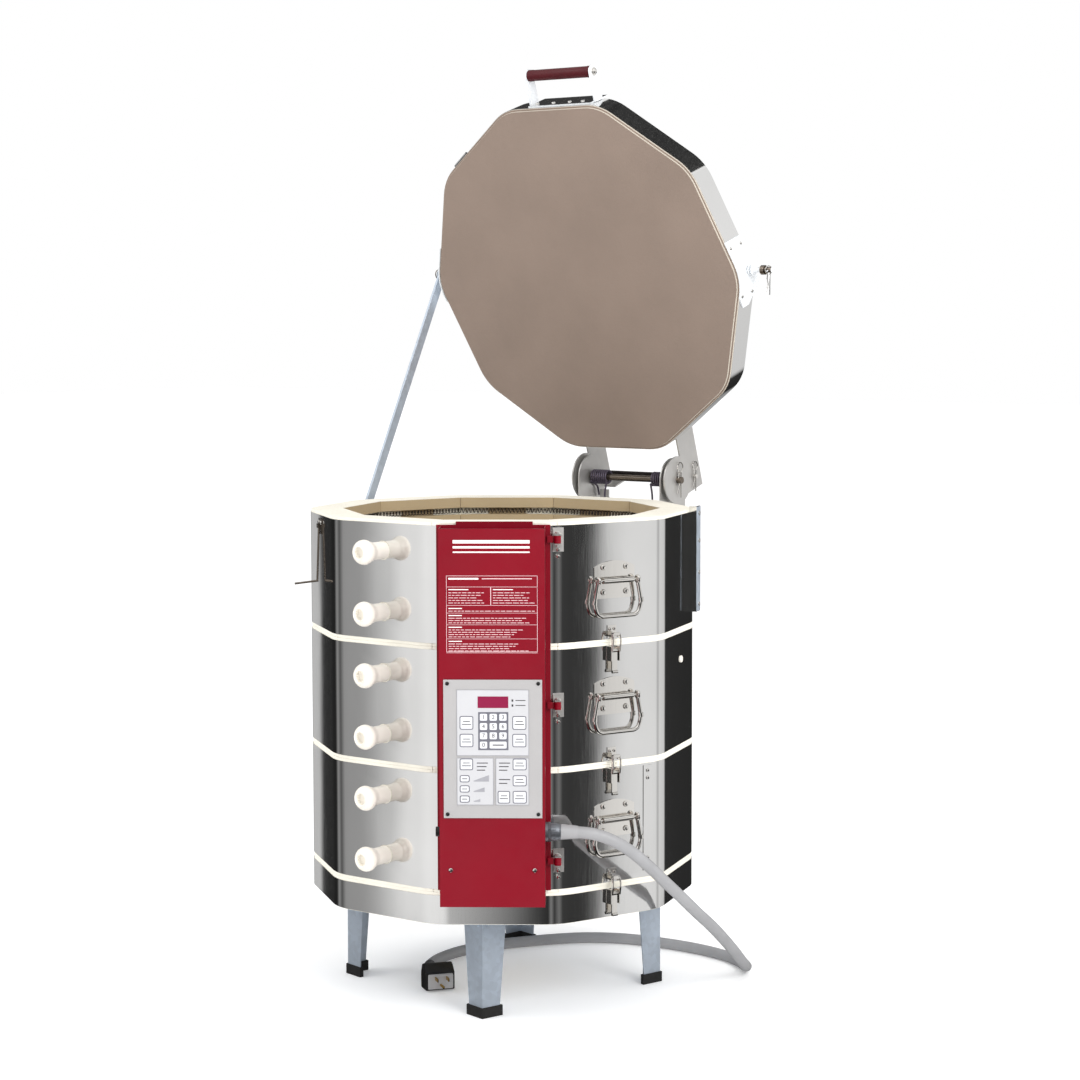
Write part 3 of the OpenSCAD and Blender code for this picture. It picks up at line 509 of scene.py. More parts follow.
def clean_group():
    """Geometry nodes that weld a CAD mesh and shade it smooth up to its real edges."""
    group = bpy.data.node_groups.new("smooth_to_edges", "GeometryNodeTree")
    group.interface.new_socket("Geometry", in_out="INPUT", socket_type="NodeSocketGeometry")
    group.interface.new_socket("Geometry", in_out="OUTPUT", socket_type="NodeSocketGeometry")
    make = group.nodes.new
    start, end = make("NodeGroupInput"), make("NodeGroupOutput")
    weld = make("GeometryNodeMergeByDistance")
    weld.inputs["Distance"].default_value = 0.00001
    strip = make("GeometryNodeRemoveAttribute")
    strip.inputs["Name"].default_value = "custom_normal"
    smooth = make("GeometryNodeSetShadeSmooth")
    sharp = make("GeometryNodeSetShadeSmooth")
    sharp.domain = "EDGE"
    sharp.inputs["Shade Smooth"].default_value = False
    angle = make("GeometryNodeInputMeshEdgeAngle")
    over = make("FunctionNodeCompare")
    over.operation = "GREATER_THAN"
    over.inputs[1].default_value = radians(28)
    join = group.links.new
    join(start.outputs[0], weld.inputs["Geometry"])
    join(weld.outputs[0], strip.inputs["Geometry"])
    join(strip.outputs[0], smooth.inputs["Geometry"])
    join(smooth.outputs[0], sharp.inputs["Geometry"])
    join(angle.outputs["Unsigned Angle"], over.inputs[0])
    join(over.outputs[0], sharp.inputs["Selection"])
    join(sharp.outputs[0], end.inputs[0])
    return group


CLEAN = clean_group()


def finish_nodes(key, names, bevel=0.0):
    """Gives CAD nodes a material and eased edges."""
    for name in names:
        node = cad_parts[name]
        node.data.materials.clear()
        node.data.materials.append(M[key])
        node.modifiers.new("clean", "NODES").node_group = CLEAN
        if bevel:
            add_bevel(node, bevel, 30)


RING_NAMES = ("bottom", "middle", "top")
finish_nodes("brick", ["floor_slab"] + [f"{r}_ring_bricks" for r in RING_NAMES], 1.6)
finish_nodes("jacket", ["floor_band", "lid_band"] + [f"{r}_ring_jacket" for r in RING_NAMES])
finish_nodes("lid_brick", ["lid_slab"], 2.8)
finish_nodes("red", ["box_cover", "box_back_plate"], 0.5)
finish_nodes("zinc", ["stand_legs", "stand_pan", "lid_arm"], 0.5)
finish_nodes("rubber", ["stand_feet"], 0.8)
finish_nodes("plate", ["box_hinge_brackets", "arm_bracket", "arm_guide", "hinge_cheeks",
                       "lid_hinge_plates"], 0.4)
finish_nodes("nickel", ["handle_plates", "latch_plates"] + [f"latch_lever_{i}" for i in range(1, 7)], 0.35)
finish_nodes("white_bar", ["lid_pivot_brackets", "lid_handle_frame"], 0.5)
finish_nodes("rod", ["hinge_rod", "wire_hook"], 0.3)
finish_nodes("grip", ["lid_handle_grip"], 2.0)
finish_nodes("keypad", ["keypad_panel"], 0.6)
finish_nodes("membrane", ["keypad_membrane"], 0.25)
finish_nodes("board", ["circuit_board"])
finish_nodes("dark", ["transformer", "relays", "fuse_holder"], 0.6)
finish_nodes("gland", ["cord_gland"], 0.8)
finish_nodes("ceramic", ["element_terminals", "thermocouple"], 0.3)


# ------------------------------------------------------------------ peephole plugs

def make_plugs():
    """Cast ceramic plugs: a neck in the wall and a rounded head with a sunk middle."""
    bulb_mid = APOTHEM + 70 - 17
    profile = [(13.2, 298.2), (14, 299.4), (14, 359.3), (16.4, 359.5), (16.4, bulb_mid - 22)]
    profile += arc((22.5, bulb_mid - 21), 6, 180, 130, 3)[1:]
    profile += arc((8.6, bulb_mid), 14.6, -45, 78, 9)
    profile += arc((12.4, bulb_mid + 14.6), 1.6, 70, 180, 4)
    profile += [(10.2, bulb_mid + 6), (9.4, bulb_mid + 5.2), (0.4, bulb_mid + 5.2)]
    for n in range(6):
        z = RING_Z0 + (n // 2 + 1) * RING_H - (3 * ROW_PITCH if n % 2 == 0 else ROW_PITCH)
        name = f"peephole_plug_{n + 1}"
        shape = Shape().add(lathe([(0.4, 298)] + profile), outward(3, 0, z))
        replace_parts(shape.piece(f"{name}_look", M["ceramic"], "white_ceramic", name), name)


# ------------------------------------------------------------------ handles and latches

def make_bails():
    """Flared wire handles with looped ears."""
    n = 0
    for k in HANDLE_FACES:
        for z in HANDLE_ZS:
            n += 1
            name = f"lift_bail_{n}"
            place = on_face(k) @ Matrix.Translation(spot(HANDLE_X, BARREL_DIST, z))
            right = [(45, 0, 0), (47, 0, -10), (54, 0, -44), (45, 0, -66)]
            wire = [(-x, y, h) for x, y, h in right] + right[::-1]
            shape = Shape().add(tube(rounded(wire, 16, 7), 7.8, 14), place)
            for side in (-1, 1):
                shape.add(tube([(side * 52.8, 0, -36), (side * 53.8, 0, -43)], 10, 16), place)
            for side in (-1, 1):
                ring = [(side * 45, 5 * sin(t), 5 * cos(t)) for t in [2 * pi * i / 20 for i in range(20)]]
                shape.add(tube(ring, 6.4, 10, closed=True), place)
                shape.add(tube([(side * 22, 0, 0), (side * 46, 0, 0)], 5, 14), place)
            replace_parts(shape.piece(f"{name}_look", M["nickel"], "nickel", name), name)


def make_latches():
    """Side rails and the strap over each latch's hook, and the cap on the spring rod and the channel."""
    rails = Shape()
    for k in HANDLE_FACES:
        for z in LATCH_ZS:
            place = on_face(k) @ Matrix.Translation((LATCH_X, 0, z))
            for side in (-1, 1):
                inner, outer = sorted((side * 8.2, side * 10.4))
                rails.add(slab((inner, outer), (361.6, 374), (-34, -6)), place)
                strap = [(side * 8.6, -375, -16), (side * 8.6, -377.5, -2),
                         (side * 8.6, -377, 10), (side * 6, -375, 18)]
                rails.add(tube(rounded(strap, 5), 3.6, 10), place)
            rails.add(slab((-7.5, 7.5), (373.4, 377.4), (13.5, 20)), place)
    rails.piece("latch_straps", M["nickel"], "nickel", bevel=0.6)
    cover = Shape().add(slab((72, 98), (CHANNEL_DIST, CHANNEL_DIST + 0.8), CHANNEL_Z), on_face(3))
    cover.add(slab((96.5, 98), (366, CHANNEL_DIST + 0.8), CHANNEL_Z), on_face(3))
    cover.piece("channel_face", M["zinc"], "plate_steel", bevel=0.3)
    button = lathe([(6.6, 0), (6.8, 1.2), (6, 2.4), (0.4, 2.5)], 28)
    hole = Shape().add(button, on_face(3) @ outward(18, APOTHEM, 649))
    hole.piece("side_hole_plug", M["ceramic"], "white_ceramic")
    rod = Shape().add(tube([(x, ANCHOR_Y, ANCHOR_Z) for x in (-114.8, 114.8)], 9, 24), LID)
    rod.piece("spring_anchor_rod", M["dark_rod"], "rod_steel", "lid")
    tips = Shape()
    for z in (312, 600, 904):
        for dz in (-32, -20):
            tips.add(dome(7, 2.6), on_face(BOX_FACE) @ outward(116, 362.3, z + dz))
    tips.piece("bracket_rivets", M["nickel"], "nickel")


# The screws of each finish on each body, by (material key, body)
SCREWS = {}


def gather(key, body):
    """The shape that holds one body's screws of one finish."""
    return SCREWS.setdefault((key, body), Shape())


def screw(key, x, dist, z, dia, height, face, lid=False, turn=20, cross=True):
    """A pan head on a face, with painted shade for its cross recess: dark slabs in the ink material."""
    body = "lid" if lid else "control_box" if face == BOX_FACE else "root"
    place = (LID if lid else Matrix()) @ on_face(face) @ outward(x, dist, z)
    place = place @ Matrix.Rotation(radians(turn), 4, "Z")
    gather(key, body).add(dome(dia, height), place)
    if cross:
        # painted shade: the recess is drawn as dark slabs, not cut
        arm, half = dia * 0.27, dia * 0.055
        for a, b in ((arm, half), (half, arm)):
            gather("ink", body).add(slab((-a, a), (-b, b), (height - 0.35, height + 0.05)), place)


def make_screws():
    """Fasteners over the CAD's plain studs."""
    for k in HANDLE_FACES:
        for z in HANDLE_ZS:
            for x in (-26, 26):
                for dz in (-22, 24):
                    screw("nickel", HANDLE_X + x, PLATE_DIST, z + dz, 11, 3.6, k, turn=x + dz, cross=False)
        for z in LATCH_ZS:
            for x in (-5, 5):
                screw("nickel", LATCH_X + x, PLATE_DIST, z + 25, 6, 2.5, k, turn=3 * x)
    for x in (-78, 74):
        screw("nickel", x, BOX_FRONT, 308, 8.5, 3, BOX_FACE, turn=x)
    for low, high, x, face in ((268, 468, 86, 2), (496, 688, 0, 4)):  # the jackets' seam strips
        for z in (low + 10, low + 24, high - 24, high - 10):
            screw("nickel", x, 361.2, z, 7, 2.6, face, turn=z)
    for z in (749, 811, 873, 926):
        screw("nickel", 88, CHANNEL_DIST, z, 9, 3, 3, turn=z)
    for x in (-50, -10, 30, 62):
        screw("nickel", x, 362, LID_Z0 + 30, 8, 3, 0, lid=True, turn=x)
    for x in (-8, 8):
        screw("nickel", x, 362, 914, 8, 2.8, 9)
    for face, x in ((2, 54), (3, -80), (7, 80), (8, -54)):
        for z in (10, 47):
            screw("nickel", x, 362.4, LID_Z0 + z, 7, 3.2, face, lid=True, cross=False)
    slots = {"nickel": "nickel", "white_bar": "white_bar", "ink": "dark_plastic"}
    for (key, body), shape in SCREWS.items():
        shape.piece(f"{body}_{key}_fasteners", M[key], slots[key], body)


# ------------------------------------------------------------------ control box front

# Keys and the number block on the panel, each (left, right, bottom, top)
KEYS = (
    [(-60.8, -36, 565.5, 590.3), (-60.8, -36, 533.7, 558)]
    + [(34.2, 59.5, 565.5, 590.3), (34.2, 59.5, 533.7, 558)]
    + [(-61, -36.7, 491.7, 513), (34.6, 59.9, 491.7, 513), (34.6, 59.9, 462.5, 482.5)]
    + [(7.4, 29.9, 431, 454), (34.6, 59.9, 431, 454)]
    + [(-61, -43, z, z + 13) for z in (469.5, 451, 432.5)]
)
NUMBER_BLOCK = (-27.4, 27.1, 528.2, 597.6)


def frame_strips(x0, x1, z0, z1, width, dist):
    """Four thin strips round a rectangle."""
    return [
        slab((x0, x1), dist, (z0, z0 + width)), slab((x0, x1), dist, (z1 - width, z1)),
        slab((x0, x0 + width), dist, (z0, z1)), slab((x1 - width, x1), dist, (z0, z1)),
    ]


def number(text, size, x, z, dist):
    """A plain keypad number as mesh, centred on a place on the panel."""
    curve = bpy.data.curves.new("number", "FONT")
    curve.body, curve.size = text, size
    curve.align_x, curve.align_y = "CENTER", "CENTER"
    curve.extrude = 0.1
    curve.resolution_u = 3
    obj = bpy.data.objects.new("number", curve)
    bpy.context.scene.collection.objects.link(obj)
    bpy.context.view_layer.update()
    mesh = bpy.data.meshes.new_from_object(obj)
    place = outward(x, dist, z)
    part = [place @ v.co for v in mesh.vertices], [tuple(p.vertices) for p in mesh.polygons]
    bpy.data.objects.remove(obj)
    bpy.data.curves.remove(curve)
    bpy.data.meshes.remove(mesh)
    return part


def plate(x0, x1, z0, z1, radius, near, far):
    """Thin plate with rounded corners, between two distances from the axis."""
    outline = []
    for x, z, start in ((x1, z1, 0), (x0, z1, 90), (x0, z0, 180), (x1, z0, 270)):
        inset_x, inset_z = (x - radius if x == x1 else x + radius), (z - radius if z == z1 else z + radius)
        outline += arc((inset_x, inset_z), radius, start, start + 90, 3)
    return sweep([[spot(x, d, z) for x, z in outline] for d in (near, far)])


def make_keypad():
    """Membrane keypad: red display, number block, side keys and two lower fields."""
    place = on_face(BOX_FACE)
    top = KEYPAD_TOP
    rims, faces, inks, ramps = Shape(), Shape(), Shape(), Shape()
    x0, x1, z0, z1 = NUMBER_BLOCK
    block = slab((x0, x1), (top - 0.3, top + 0.25), (z0, z1))
    Shape().add(block, place).piece("number_block", M["key_dark"], "dark_plastic", "control_box", 0.2)
    cell_x, cell_z = (x1 - x0 - 2) / 3, (z1 - z0 - 2) / 4
    for row in range(4):
        for col in range(3):
            if row == 3 and col == 2:
                continue
            wide = 2 if row == 3 and col == 1 else 1
            a, b = x0 + 1 + col * cell_x, z1 - 1 - (row + 1) * cell_z
            right = a + cell_x * wide
            faces.add(plate(a + 2.2, right - 2.2, b + 2.2, b + cell_z - 2.2, 2, top, top + 0.55), place)
            middle_x, middle_z = (a + right) / 2, b + cell_z / 2
            if wide == 1:
                digit = "0" if row == 3 else str(row * 3 + col + 1)
                inks.add(number(digit, 11, middle_x, middle_z, top + 0.55), place)
            else:
                bar_x, bar_z = (middle_x - 10, middle_x + 10), (middle_z - 1, middle_z + 1)
                inks.add(slab(bar_x, (top + 0.5, top + 0.66), bar_z), place)
    for a, b, c, d in KEYS:
        rims.add(plate(a, b, c, d, 3.2, top - 0.3, top + 0.2), place)
        faces.add(plate(a + 1.7, b - 1.7, c + 1.7, d - 1.7, 2, top, top + 0.5), place)
        mid = (c + d) / 2
        lines = ((-2.6, 0.8), (2.6, 0.62)) if d - c > 16 else ((0, 0.7),)
        for dz, part in lines:  # plain bars stand for the printed words
            half = (b - a) * part / 2 - 1.5
            inks.add(slab(((a + b) / 2 - half, (a + b) / 2 + half), (top + 0.45, top + 0.6),
                          (mid + dz - 0.7, mid + dz + 0.7)), place)
    for z, size in ((471, 28), (452, 20), (434, 12)):
        ramp = [spot(x, d, h) for d in (top - 0.2, top + 0.15) for x, h in
                ((-36, z), (-36 + size, z), (-36 + size, z + size * 0.42), (-36, z + 1.5))]
        ramps.add(sweep([ramp[:4], ramp[4:]]), place)
    for a, b, c, d in ((-66, 64, 518, 638), (-66, 0, 428, 514), (4, 64, 428, 514)):
        for strip in frame_strips(a, b, c, d, 0.9, (top - 0.3, top + 0.15)):
            ramps.add(strip, place)
    for row in range(2):
        inks.add(slab((40, 58), (top - 0.1, top + 0.1), (618 - row * 9, 619.4 - row * 9)), place)
        inks.add(slab((33, 36), (top - 0.1, top + 0.2), (616.5 - row * 9, 620.5 - row * 9)), place)
    for x, z in ((-30, 504), (-30, 497.5), (-30, 491), (10, 504),
                 (10, 497.5), (10, 491), (10, 474), (10, 467)):
        inks.add(slab((x, x + 20 - (z * 7) % 6), (top - 0.1, top + 0.1), (z, z + 1.6)), place)
    ramps.piece("keypad_fields", M["ramp"], "membrane", "control_box")
    rims.piece("keypad_outlines", M["key_dark"], "dark_plastic", "control_box")
    faces.piece("keypad_keys", M["key"], "membrane", "control_box", 0.2)
    inks.piece("keypad_marks", M["ink"], "dark_plastic", "control_box")
    glass = Shape().add(slab((-28.2, 27.1), (top - 0.3, top + 0.3), (604.9, 625.9)), place)
    glass.piece("display_window", M["display"], "dark_plastic", "control_box", 0.15)
    screws = Shape()
    for x in (-83, 81):
        for z in (411, 649):
            screws.add(dome(7, 2.4), place @ outward(x, 437, z))
    screws.piece("keypad_screws", M["dark"], "dark_plastic", "control_box")


def make_panel_print():
    """Plain ruled boxes and unreadable lines, where the panel is printed."""
    place = on_face(BOX_FACE)
    pink, white = Shape(), Shape()
    ink = (BOX_FRONT - 0.2, BOX_FRONT + 0.12)

    def rule(shape, x0, x1, z, thick=0.9):
        shape.add(slab((x0, x1), ink, (z, z + thick)), place)

    def lines(x0, x1, top, count, pitch=5.2):
        for i in range(count):
            z, x = top - i * pitch, x0
            end = x1 - random.uniform(0, (x1 - x0) * 0.3)
            while x < end - 3:
                word = min(random.uniform(4, 12), end - x)
                rule(pink, x, x + word, z, 1.2)
                x += word + 1.8

    for z, thick in ((902, 6), (893, 4), (885, 2.4)):
        rule(white, -72, 66, z, thick)
    rule(white, -80, -26, 837, 3)
    rule(pink, -20, 70, 837.6, 1.6)
    for strip in frame_strips(-84, 80, 706, 844, 0.8, ink):
        pink.add(strip, place)
    for x0, x1 in ((-84, -4), (-4, 80)):
        for strip in frame_strips(x0, x1, 790, 824, 0.7, ink):
            pink.add(strip, place)
        rule(white, x0 + 4, x0 + 40, 818, 1.6)
        lines(x0 + 4, x1 - 4, 812.5, 5, 4.6)
    top = 784
    for count in (1, 3, 4, 4):
        rule(white, -80, -56, top, 1.6)
        lines(-80, 76, top - 4.6, count, 4.2)
        top -= 8.6 + count * 4.2
        rule(pink, -84, 80, top + 5, 0.6)
    pink.piece("panel_lines", M["print"], "membrane", "control_box")
    white.piece("panel_bars", M["print_white"], "membrane", "control_box")


# ------------------------------------------------------------------ hinge, springs, pins

def make_springs():
    """Two coil springs on the hinge rod, each with a leg down the rear."""
    shape = Shape()
    turns, radius, wire = 8, 13.6, 3.7
    for side in (-1, 1):
        coil = []
        for i in range(turns * 20 + 1):
            t = i / 20
            turn = radians(225) + 2 * pi * t * side
            x = side * (56 + 42 * t / turns)
            coil.append((x, HINGE_Y + radius * cos(turn), HINGE_Z + radius * sin(turn)))
        shape.add(tube(coil, wire, 10))
        inner = [coil[0], (side * 60.5, HINGE_Y - 10, 940), (side * 62, HINGE_Y - 10, 882)]
        outer = [coil[-1], (side * 97, HINGE_Y + 15, 950), (side * 97, HINGE_Y + 20, 930)]
        for leg, bend in ((inner, 12), (outer, 8)):
            shape.add(tube(rounded(leg, bend), 4, 10))
    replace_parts(shape.piece("hinge_spring_coils", M["spring"], "spring_steel"), "hinge_springs")
    anchors = Shape()
    for side in (-1, 1):
        anchors.add(slab((side * 84 - 11, side * 84 + 11), (-HINGE_Y - 24, -HINGE_Y - 21), (918, 942)))
    anchors.piece("spring_anchors", M["plate"], "plate_steel", bevel=0.5)


def hairpin(size):
    """Spring clip: a round eye, one straight leg and one waved leg."""
    turns = [radians(200 + 35 * i) for i in range(10)]
    eye = [(size * 0.2 * sin(a), 0, size * 0.2 * (1 + cos(a))) for a in turns]
    straight = [(size * 0.07, 0, -size * 0.4), (size * 0.07, 0, -size)]
    waved = [(-size * 0.1, 0, -size * 0.25), (-size * 0.02, 0, -size * 0.5), (-size * 0.16, 0, -size * 0.85)]
    return rounded(waved[::-1] + eye + straight, size * 0.06, 3)


def make_pins():
    """Clips through the rod's ends, and one that hangs from the right pivot."""
    clips, hung, ends = Shape(), Shape(), Shape()
    turn = Matrix.Rotation(radians(LID_ANGLE), 4, "X")
    across = Matrix.Rotation(radians(90), 4, "Z")
    for side in (-1, 1):
        clips.add(tube(hairpin(52), 2.4, 8), Matrix.Translation((side * 123, HINGE_Y, HINGE_Z + 16)) @ across)
        rear = LID @ Matrix.Translation((side * 121, ANCHOR_Y, ANCHOR_Z)) @ turn
        hung.add(tube(hairpin(44), 2.4, 8), rear @ Matrix.Translation((0, 0, 13)) @ across)
        hung.add(tube([(-5, 0, 0), (5, 0, 0)], 9, 16), rear)
    clips.piece("rod_clips", M["nickel"], "nickel")
    pivot = LID @ Matrix.Translation((420, PIVOT_Y, PIVOT_Z)) @ turn
    below = pivot @ Matrix.Translation((0, 0, -8)) @ Matrix.Rotation(radians(70), 4, "Z")
    hung.add(tube(hairpin(40), 2.2, 8), below)
    hung.piece("pivot_clip", M["nickel"], "nickel", "lid")
    right = [(404, 413.2, 18.5), (413, 416, 14), (413, 427.8, 10.8)]
    for x0, x1, dia in right + [(-408, -405, 20.6), (-409.9, -405, 12)]:
        ends.add(tube([(x, PIVOT_Y, PIVOT_Z) for x in (x0, x1)], dia, 28), LID)
    ends.piece("pivot_ends", M["rod"], "rod_steel", "lid", bevel=0.6)


def make_lid_handle():
    """Bolt heads at the grip's ends, its moulded end rings and the steel behind the handle's base."""
    bolts, rings = Shape(), Shape()
    for side in (-1, 1):
        bolt = LID @ Matrix.Translation(spot(GRIP_X + side * 81, GRIP_DIST, GRIP_Z))
        place = bolt @ Matrix.Rotation(radians(90 * side), 4, "Y")
        bolts.add(lathe([(8.5, 0), (8.5, 0.9), (6.4, 1.2), (6.4, 1.3)], 24), place)
        bolts.add(dome(12, 5), place @ Matrix.Translation((0, 0, 1)))
        ring = LID @ Matrix.Translation(spot(GRIP_X + side * 72, GRIP_DIST, GRIP_Z))
        collar = lathe([(10.9, -5), (11.5, -4.4), (11.5, 4.4), (10.9, 5)], 40)
        rings.add(collar, ring @ Matrix.Rotation(radians(90), 4, "Y"))
    cover = Shape().add(slab((-62, 92), (361.9, 362.6), (LID_Z0 + 14, LID_Z1 + 16)), LID)
    cover.piece("handle_base_cover", M["jacket"], "jacket_steel", "lid")
    bolts.piece("grip_bolts", M["nickel"], "nickel", "lid")
    rings.piece("grip_end_rings", M["grip"], "grip_plastic", "lid")


# ------------------------------------------------------------------ heating coils

def element_path(z):
    """Stations along one groove, from one side of the box face's middle round to the other."""
    dist, notch = 303.1, 12
    half = dist * tan(radians(STEP / 2))
    corners = [on_face(BOX_FACE) @ spot(notch, dist, z)]
    corners += [on_face(BOX_FACE + i) @ spot(half, dist, z) for i in range(SIDES)]
    corners += [on_face(BOX_FACE) @ spot(-notch, dist, z)]
    legs = [(b - a).length for a, b in zip(corners, corners[1:])]

    def along(s):
        if s is None:
            return sum(legs)
        for a, b, leg in zip(corners, corners[1:], legs):
            if s <= leg or b is corners[-1]:
                way = (b - a).normalized()
                return a + way * min(s, leg), Vector((way.y, -way.x, 0)), Vector((0, 0, 1))
            s -= leg
    return along


def make_elements():
    """A coiled wire in each of the chamber's twelve grooves."""
    shape = Shape()
    for row in range(12):
        groove = element_path(RING_Z0 + (row + 0.5) * ROW_PITCH)
        shape.add(helix(groove, radius=4.4, pitch=7.5, dia=2.0, sides=4, per_turn=8))
    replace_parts(shape.piece("element_coils", M["wire"], "element_wire"), "heating_elements")


# ------------------------------------------------------------------ mains cord

def make_cord():
    """The cord, its gland nut and sleeves, and the moulded plug."""
    route = flowing(CORD_ROUTE)
    path = [p * MM for p in route]
    along = Shape().add(tube([p / MM for p in path], CORD_D, 20))
    cord = along.piece("mains_cord", M["cord"], "cord_grey", None)
    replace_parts(cord, "power_cord", "power_cord_stub")
    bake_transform(cord)

    sleeve = route[:5]
    relief = Shape().add(tube(sleeve, [CORD_D + 7 - 1.4 * i for i in range(len(sleeve))], 24))
    gland = on_face(BOX_FACE) @ Matrix.Translation(spot(93, 400, GLAND_Z))
    gland_place = gland @ Matrix.Rotation(radians(90), 4, "Y")
    relief_piece = relief.piece("gland_sleeve", M["cord"], "cord_grey", "control_box")
    nut = Shape()
    nut.add(lathe([(18, 4.8), (18.6, 5.4), (18.6, 9), (18, 9.6)], 6), gland_place)
    nut.add(lathe([(15, 9), (16.2, 10), (16.2, 20), (14.6, 25), (13.2, 28.2)], 32), gland_place)
    for i in range(16):
        rib = gland_place @ Matrix.Rotation(radians(22.5 * i), 4, "Z")
        nut.add(slab((16, 16.7), (-1, 1), (10.5, 19.5)), rib)
    nut.piece("gland_nut", M["gland"], "gland_metal", "control_box", bevel=0.3)

    place = Matrix.Translation(PLUG_AT) @ Matrix.Rotation(radians(PLUG_TURN), 4, "Z")
    side = [(1, 5), (1, 34), (8, 50), (18, 53), (26, 50), (40, 38), (40, 3), (4, 2)]
    body = Shape().add(sweep([[(x, y, z) for x, z in side] for y in (-29, 29)]), place)
    collar = [(-16, 8), (-16, 28), (4, 38), (4, 4)]
    body.add(sweep([[(x, y, z) for x, z in collar] for y in (-14, 14)]), place)
    plug = body.piece("plug_body", M["plug"], "plug_black", bevel=4, angle=25)
    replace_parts(plug, "power_plug")
    face = [(39, 5), (39, 36), (43.6, 33), (43.6, 7)]
    front = Shape().add(sweep([[(x, y, z) for x, z in face] for y in (-25, 25)]), place)
    front_piece = front.piece("plug_face", M["keypad"], "plug_black", bevel=1.5)
    blades = Shape()
    for y in (-11, 11):
        blades.add(slab((43, 62), (-y - 1, -y + 1), (24, 31)), place)
    blades.add(tube([(43, 0, 14), (63, 0, 14), (65.5, 0, 14)], [5, 5, 2.6], 16), place)
    blade_piece = blades.piece("plug_pins", M["brass"], "plug_black", bevel=0.4)
    tail = route[-11:-3]
    boot = Shape().add(tube(tail, [CORD_D + 0.6 + 0.4 * i for i in range(len(tail))], 24))
    boot_piece = boot.piece("plug_boot", M["plug"], "plug_black")


make_plugs()
make_bails()
make_latches()
make_screws()
make_keypad()
make_panel_print()
make_springs()
make_pins()
make_lid_handle()
make_elements()
make_cord()


# ------------------------------------------------------------------ stage: floor, reflections, lights

def make_floor():
    """Pale paper that the mirrors do not see."""
    g = Graph("floor_paper")
    g.set(Base_Color=g.tint(g.between(g.noise(2, 3), 0, 1), (0.90, 0.90, 0.90, 1), (0.93, 0.93, 0.93, 1)))
    g.set(Roughness=0.85, Specular_IOR_Level=0.15, Emission_Color=(1, 1, 1, 1), Emission_Strength=0.2)
    mesh = bpy.data.meshes.new("floor")
    mesh.from_pydata([(x, y, 0) for x, y in ((-30, -30), (30, -30), (30, 30), (-30, 30))], [], [(0, 1, 2, 3)])
    mesh.materials.append(g.material)
    floor = bpy.data.objects.new("floor", mesh)
    bpy.context.scene.collection.objects.link(floor)
    floor.visible_glossy = False


# What the mirrors see round the studio: direction in degrees and brightness, low down for the
# jackets and high up for the tilted lid's band
LOW_RING = [
    (-180, 0.02), (-169, 0.02), (-160, 0.3), (-150, 0.1), (-138, 0.34), (-127.5, 0.36), (-122.5, 0.9),
    (-100, 1.0), (-70, 0.95), (-56, 0.3), (-51, 0.05), (-40, 0.03), (-35, 0.24), (-29, 0.04), (-20, 0.2),
    (-13, 0.05), (11.1, 0.04), (11.9, 0.72), (15.5, 0.88), (40, 0.85), (46, 0.5), (52, 0.8), (72, 0.7),
    (77, 0.03), (100, 0.02), (112, 0.6), (122, 0.5), (128, 0.06), (163.95, 0.6), (164.15, 0.03), (180, 0.02),
]
HIGH_RING = [
    (-180, 0.7), (-60, 0.9), (20, 0.8), (40, 0.95), (75, 0.9),
    (100, 0.3), (118, 0.05), (150, 0.05), (180, 0.7),
]
RING_SPLIT = 1.6


def ring_ramp(g, turn, stops):
    """Brightness from a list of (direction, level), as the turn goes from 0 to 1."""
    node = g.node("ShaderNodeValToRGB", {"Fac": turn})
    elements = node.color_ramp.elements
    while len(elements) < len(stops):
        elements.new(0.5)
    for stop, (direction, level) in zip(elements, stops):
        stop.position = (direction + 180) / 360
        stop.color = (level, level, level, 1)
    return node.outputs[0]


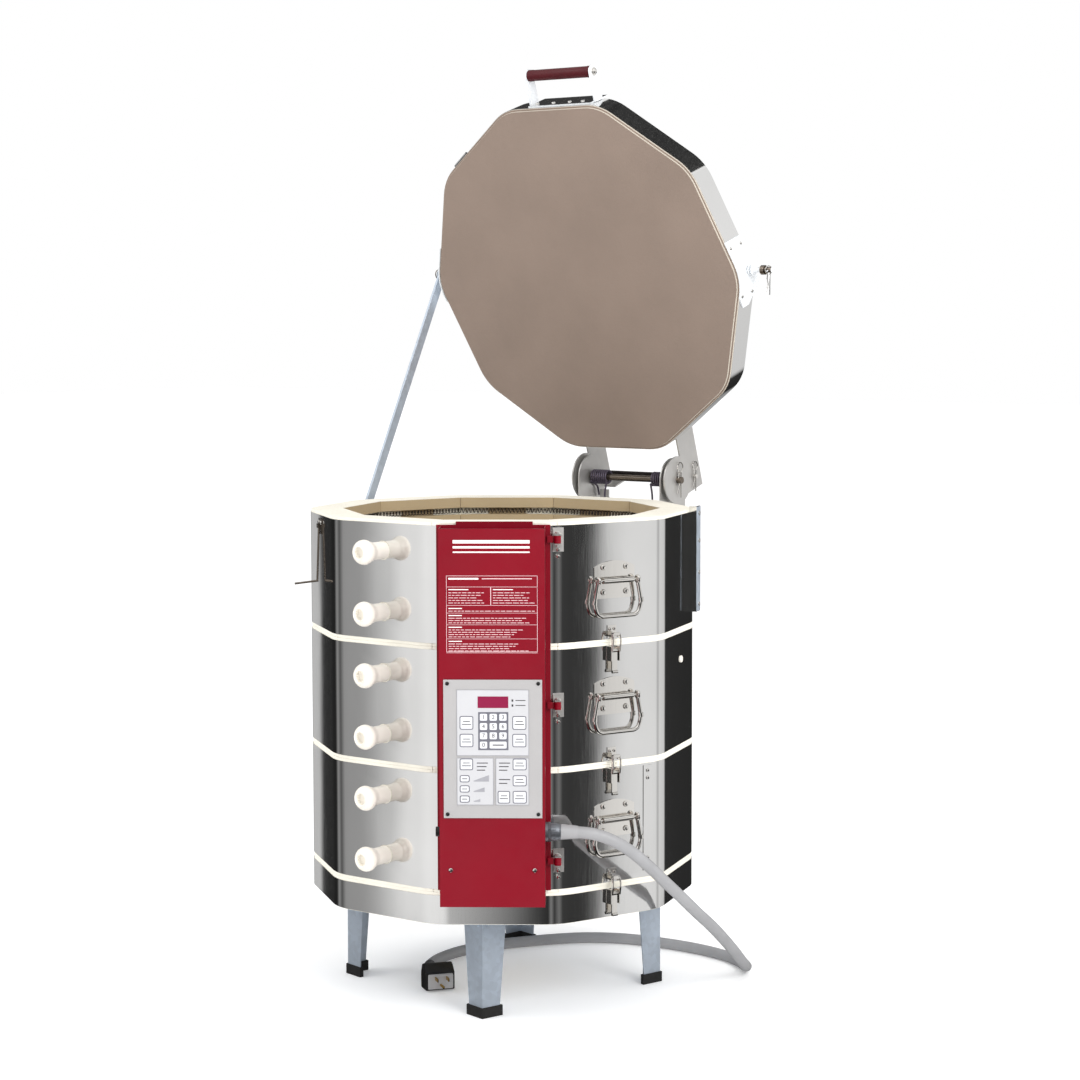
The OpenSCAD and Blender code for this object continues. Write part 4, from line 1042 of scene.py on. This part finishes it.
def make_surround():
    """A ring of grey and black card that only mirrors see."""
    g = Graph("surround")
    at = g.node("ShaderNodeSeparateXYZ", {0: g.coords}).outputs
    turn = g.between(g.math("ARCTAN2", at[1], at[0]), 0, 1, -pi, pi)
    high_up = g.math("GREATER_THAN", at[2], RING_SPLIT)
    level = g.tint(high_up, ring_ramp(g, turn, LOW_RING), ring_ramp(g, turn, HIGH_RING))
    below = g.between(at[2], 0.06, 1.0, -0.5, -0.3)
    # a dimmer stripe from 1.2 m up to 1.5 m, and full brightness again above it
    band = g.math("SUBTRACT", g.between(at[2], 1.0, 0.2, 1.1, 1.2), g.between(at[2], 0, -0.8, 1.5, 1.6))
    glow = g.node("ShaderNodeEmission", {"Color": level, "Strength": g.math("MULTIPLY", below, band)})
    g.feed(g.tree.nodes["Material Output"].inputs[0], glow.outputs[0])
    sides, radius, bottom, top = 96, 2.4, -4.0, 3.2
    ring = [(radius * cos(2 * pi * i / sides), radius * sin(2 * pi * i / sides)) for i in range(sides)]
    points = [(x, y, z) for z in (bottom, top) for x, y in ring]
    pairs = [(i, (i + 1) % sides) for i in range(sides)]
    mesh = bpy.data.meshes.new("surround")
    mesh.from_pydata(points, [], [(a, b, b + sides, a + sides) for a, b in pairs])
    mesh.materials.append(g.material)
    mirror_only(mesh)


def make_overhead_card():
    """A dark card above and behind that darkens the top of the lid's band, for mirrors only."""
    g = Graph("overhead_card")
    drift = g.between(g.noise(3), 0, 1)
    g.set(Base_Color=g.tint(drift, (0.01, 0.01, 0.01, 1), (0.03, 0.03, 0.03, 1)), Roughness=1.0)
    corners = [(-1.6, 1.0, 3.3), (2.0, 1.0, 3.3), (2.0, 3.4, 4.6), (-1.6, 3.4, 4.6)]
    mesh = bpy.data.meshes.new("overhead_card")
    mesh.from_pydata(corners, [], [(0, 1, 2, 3)])
    mesh.materials.append(g.material)
    mirror_only(mesh)


def mirror_only(mesh):
    """Stages a card that only reflections show."""
    card = bpy.data.objects.new(mesh.name, mesh)
    bpy.context.scene.collection.objects.link(card)
    card.visible_camera = False
    card.visible_diffuse = False
    card.visible_shadow = False
    card.visible_transmission = False


def soft_light(name, at, target, size, power):
    """A square studio light, in metres and watts."""
    data = bpy.data.lights.new(name, "AREA")
    data.shape, data.size, data.energy = "SQUARE", size, power
    light = bpy.data.objects.new(name, data)
    light.location = at
    light.rotation_mode = "QUATERNION"
    light.rotation_quaternion = (Vector(target) - Vector(at)).to_track_quat("-Z", "Y")
    bpy.context.scene.collection.objects.link(light)


def make_light():
    """White studio air, and plain tone mapping so that white paper stays white."""
    world = bpy.data.worlds.new("studio")
    world.use_nodes = True
    back = world.node_tree.nodes["Background"]
    back.inputs["Color"].default_value = (1, 1, 1, 1)
    back.inputs["Strength"].default_value = 1.0
    bpy.context.scene.world = world
    bpy.context.scene.view_settings.view_transform = "Standard"
    soft_light("key", (-2.6, -3.6, 4.2), (0, 0, 0.8), 2.4, 60)
    soft_light("fill", (4.2, -1.6, 3.0), (0, 0, 0.8), 2.0, 120)


make_floor()
make_surround()
make_overhead_card()
make_light()
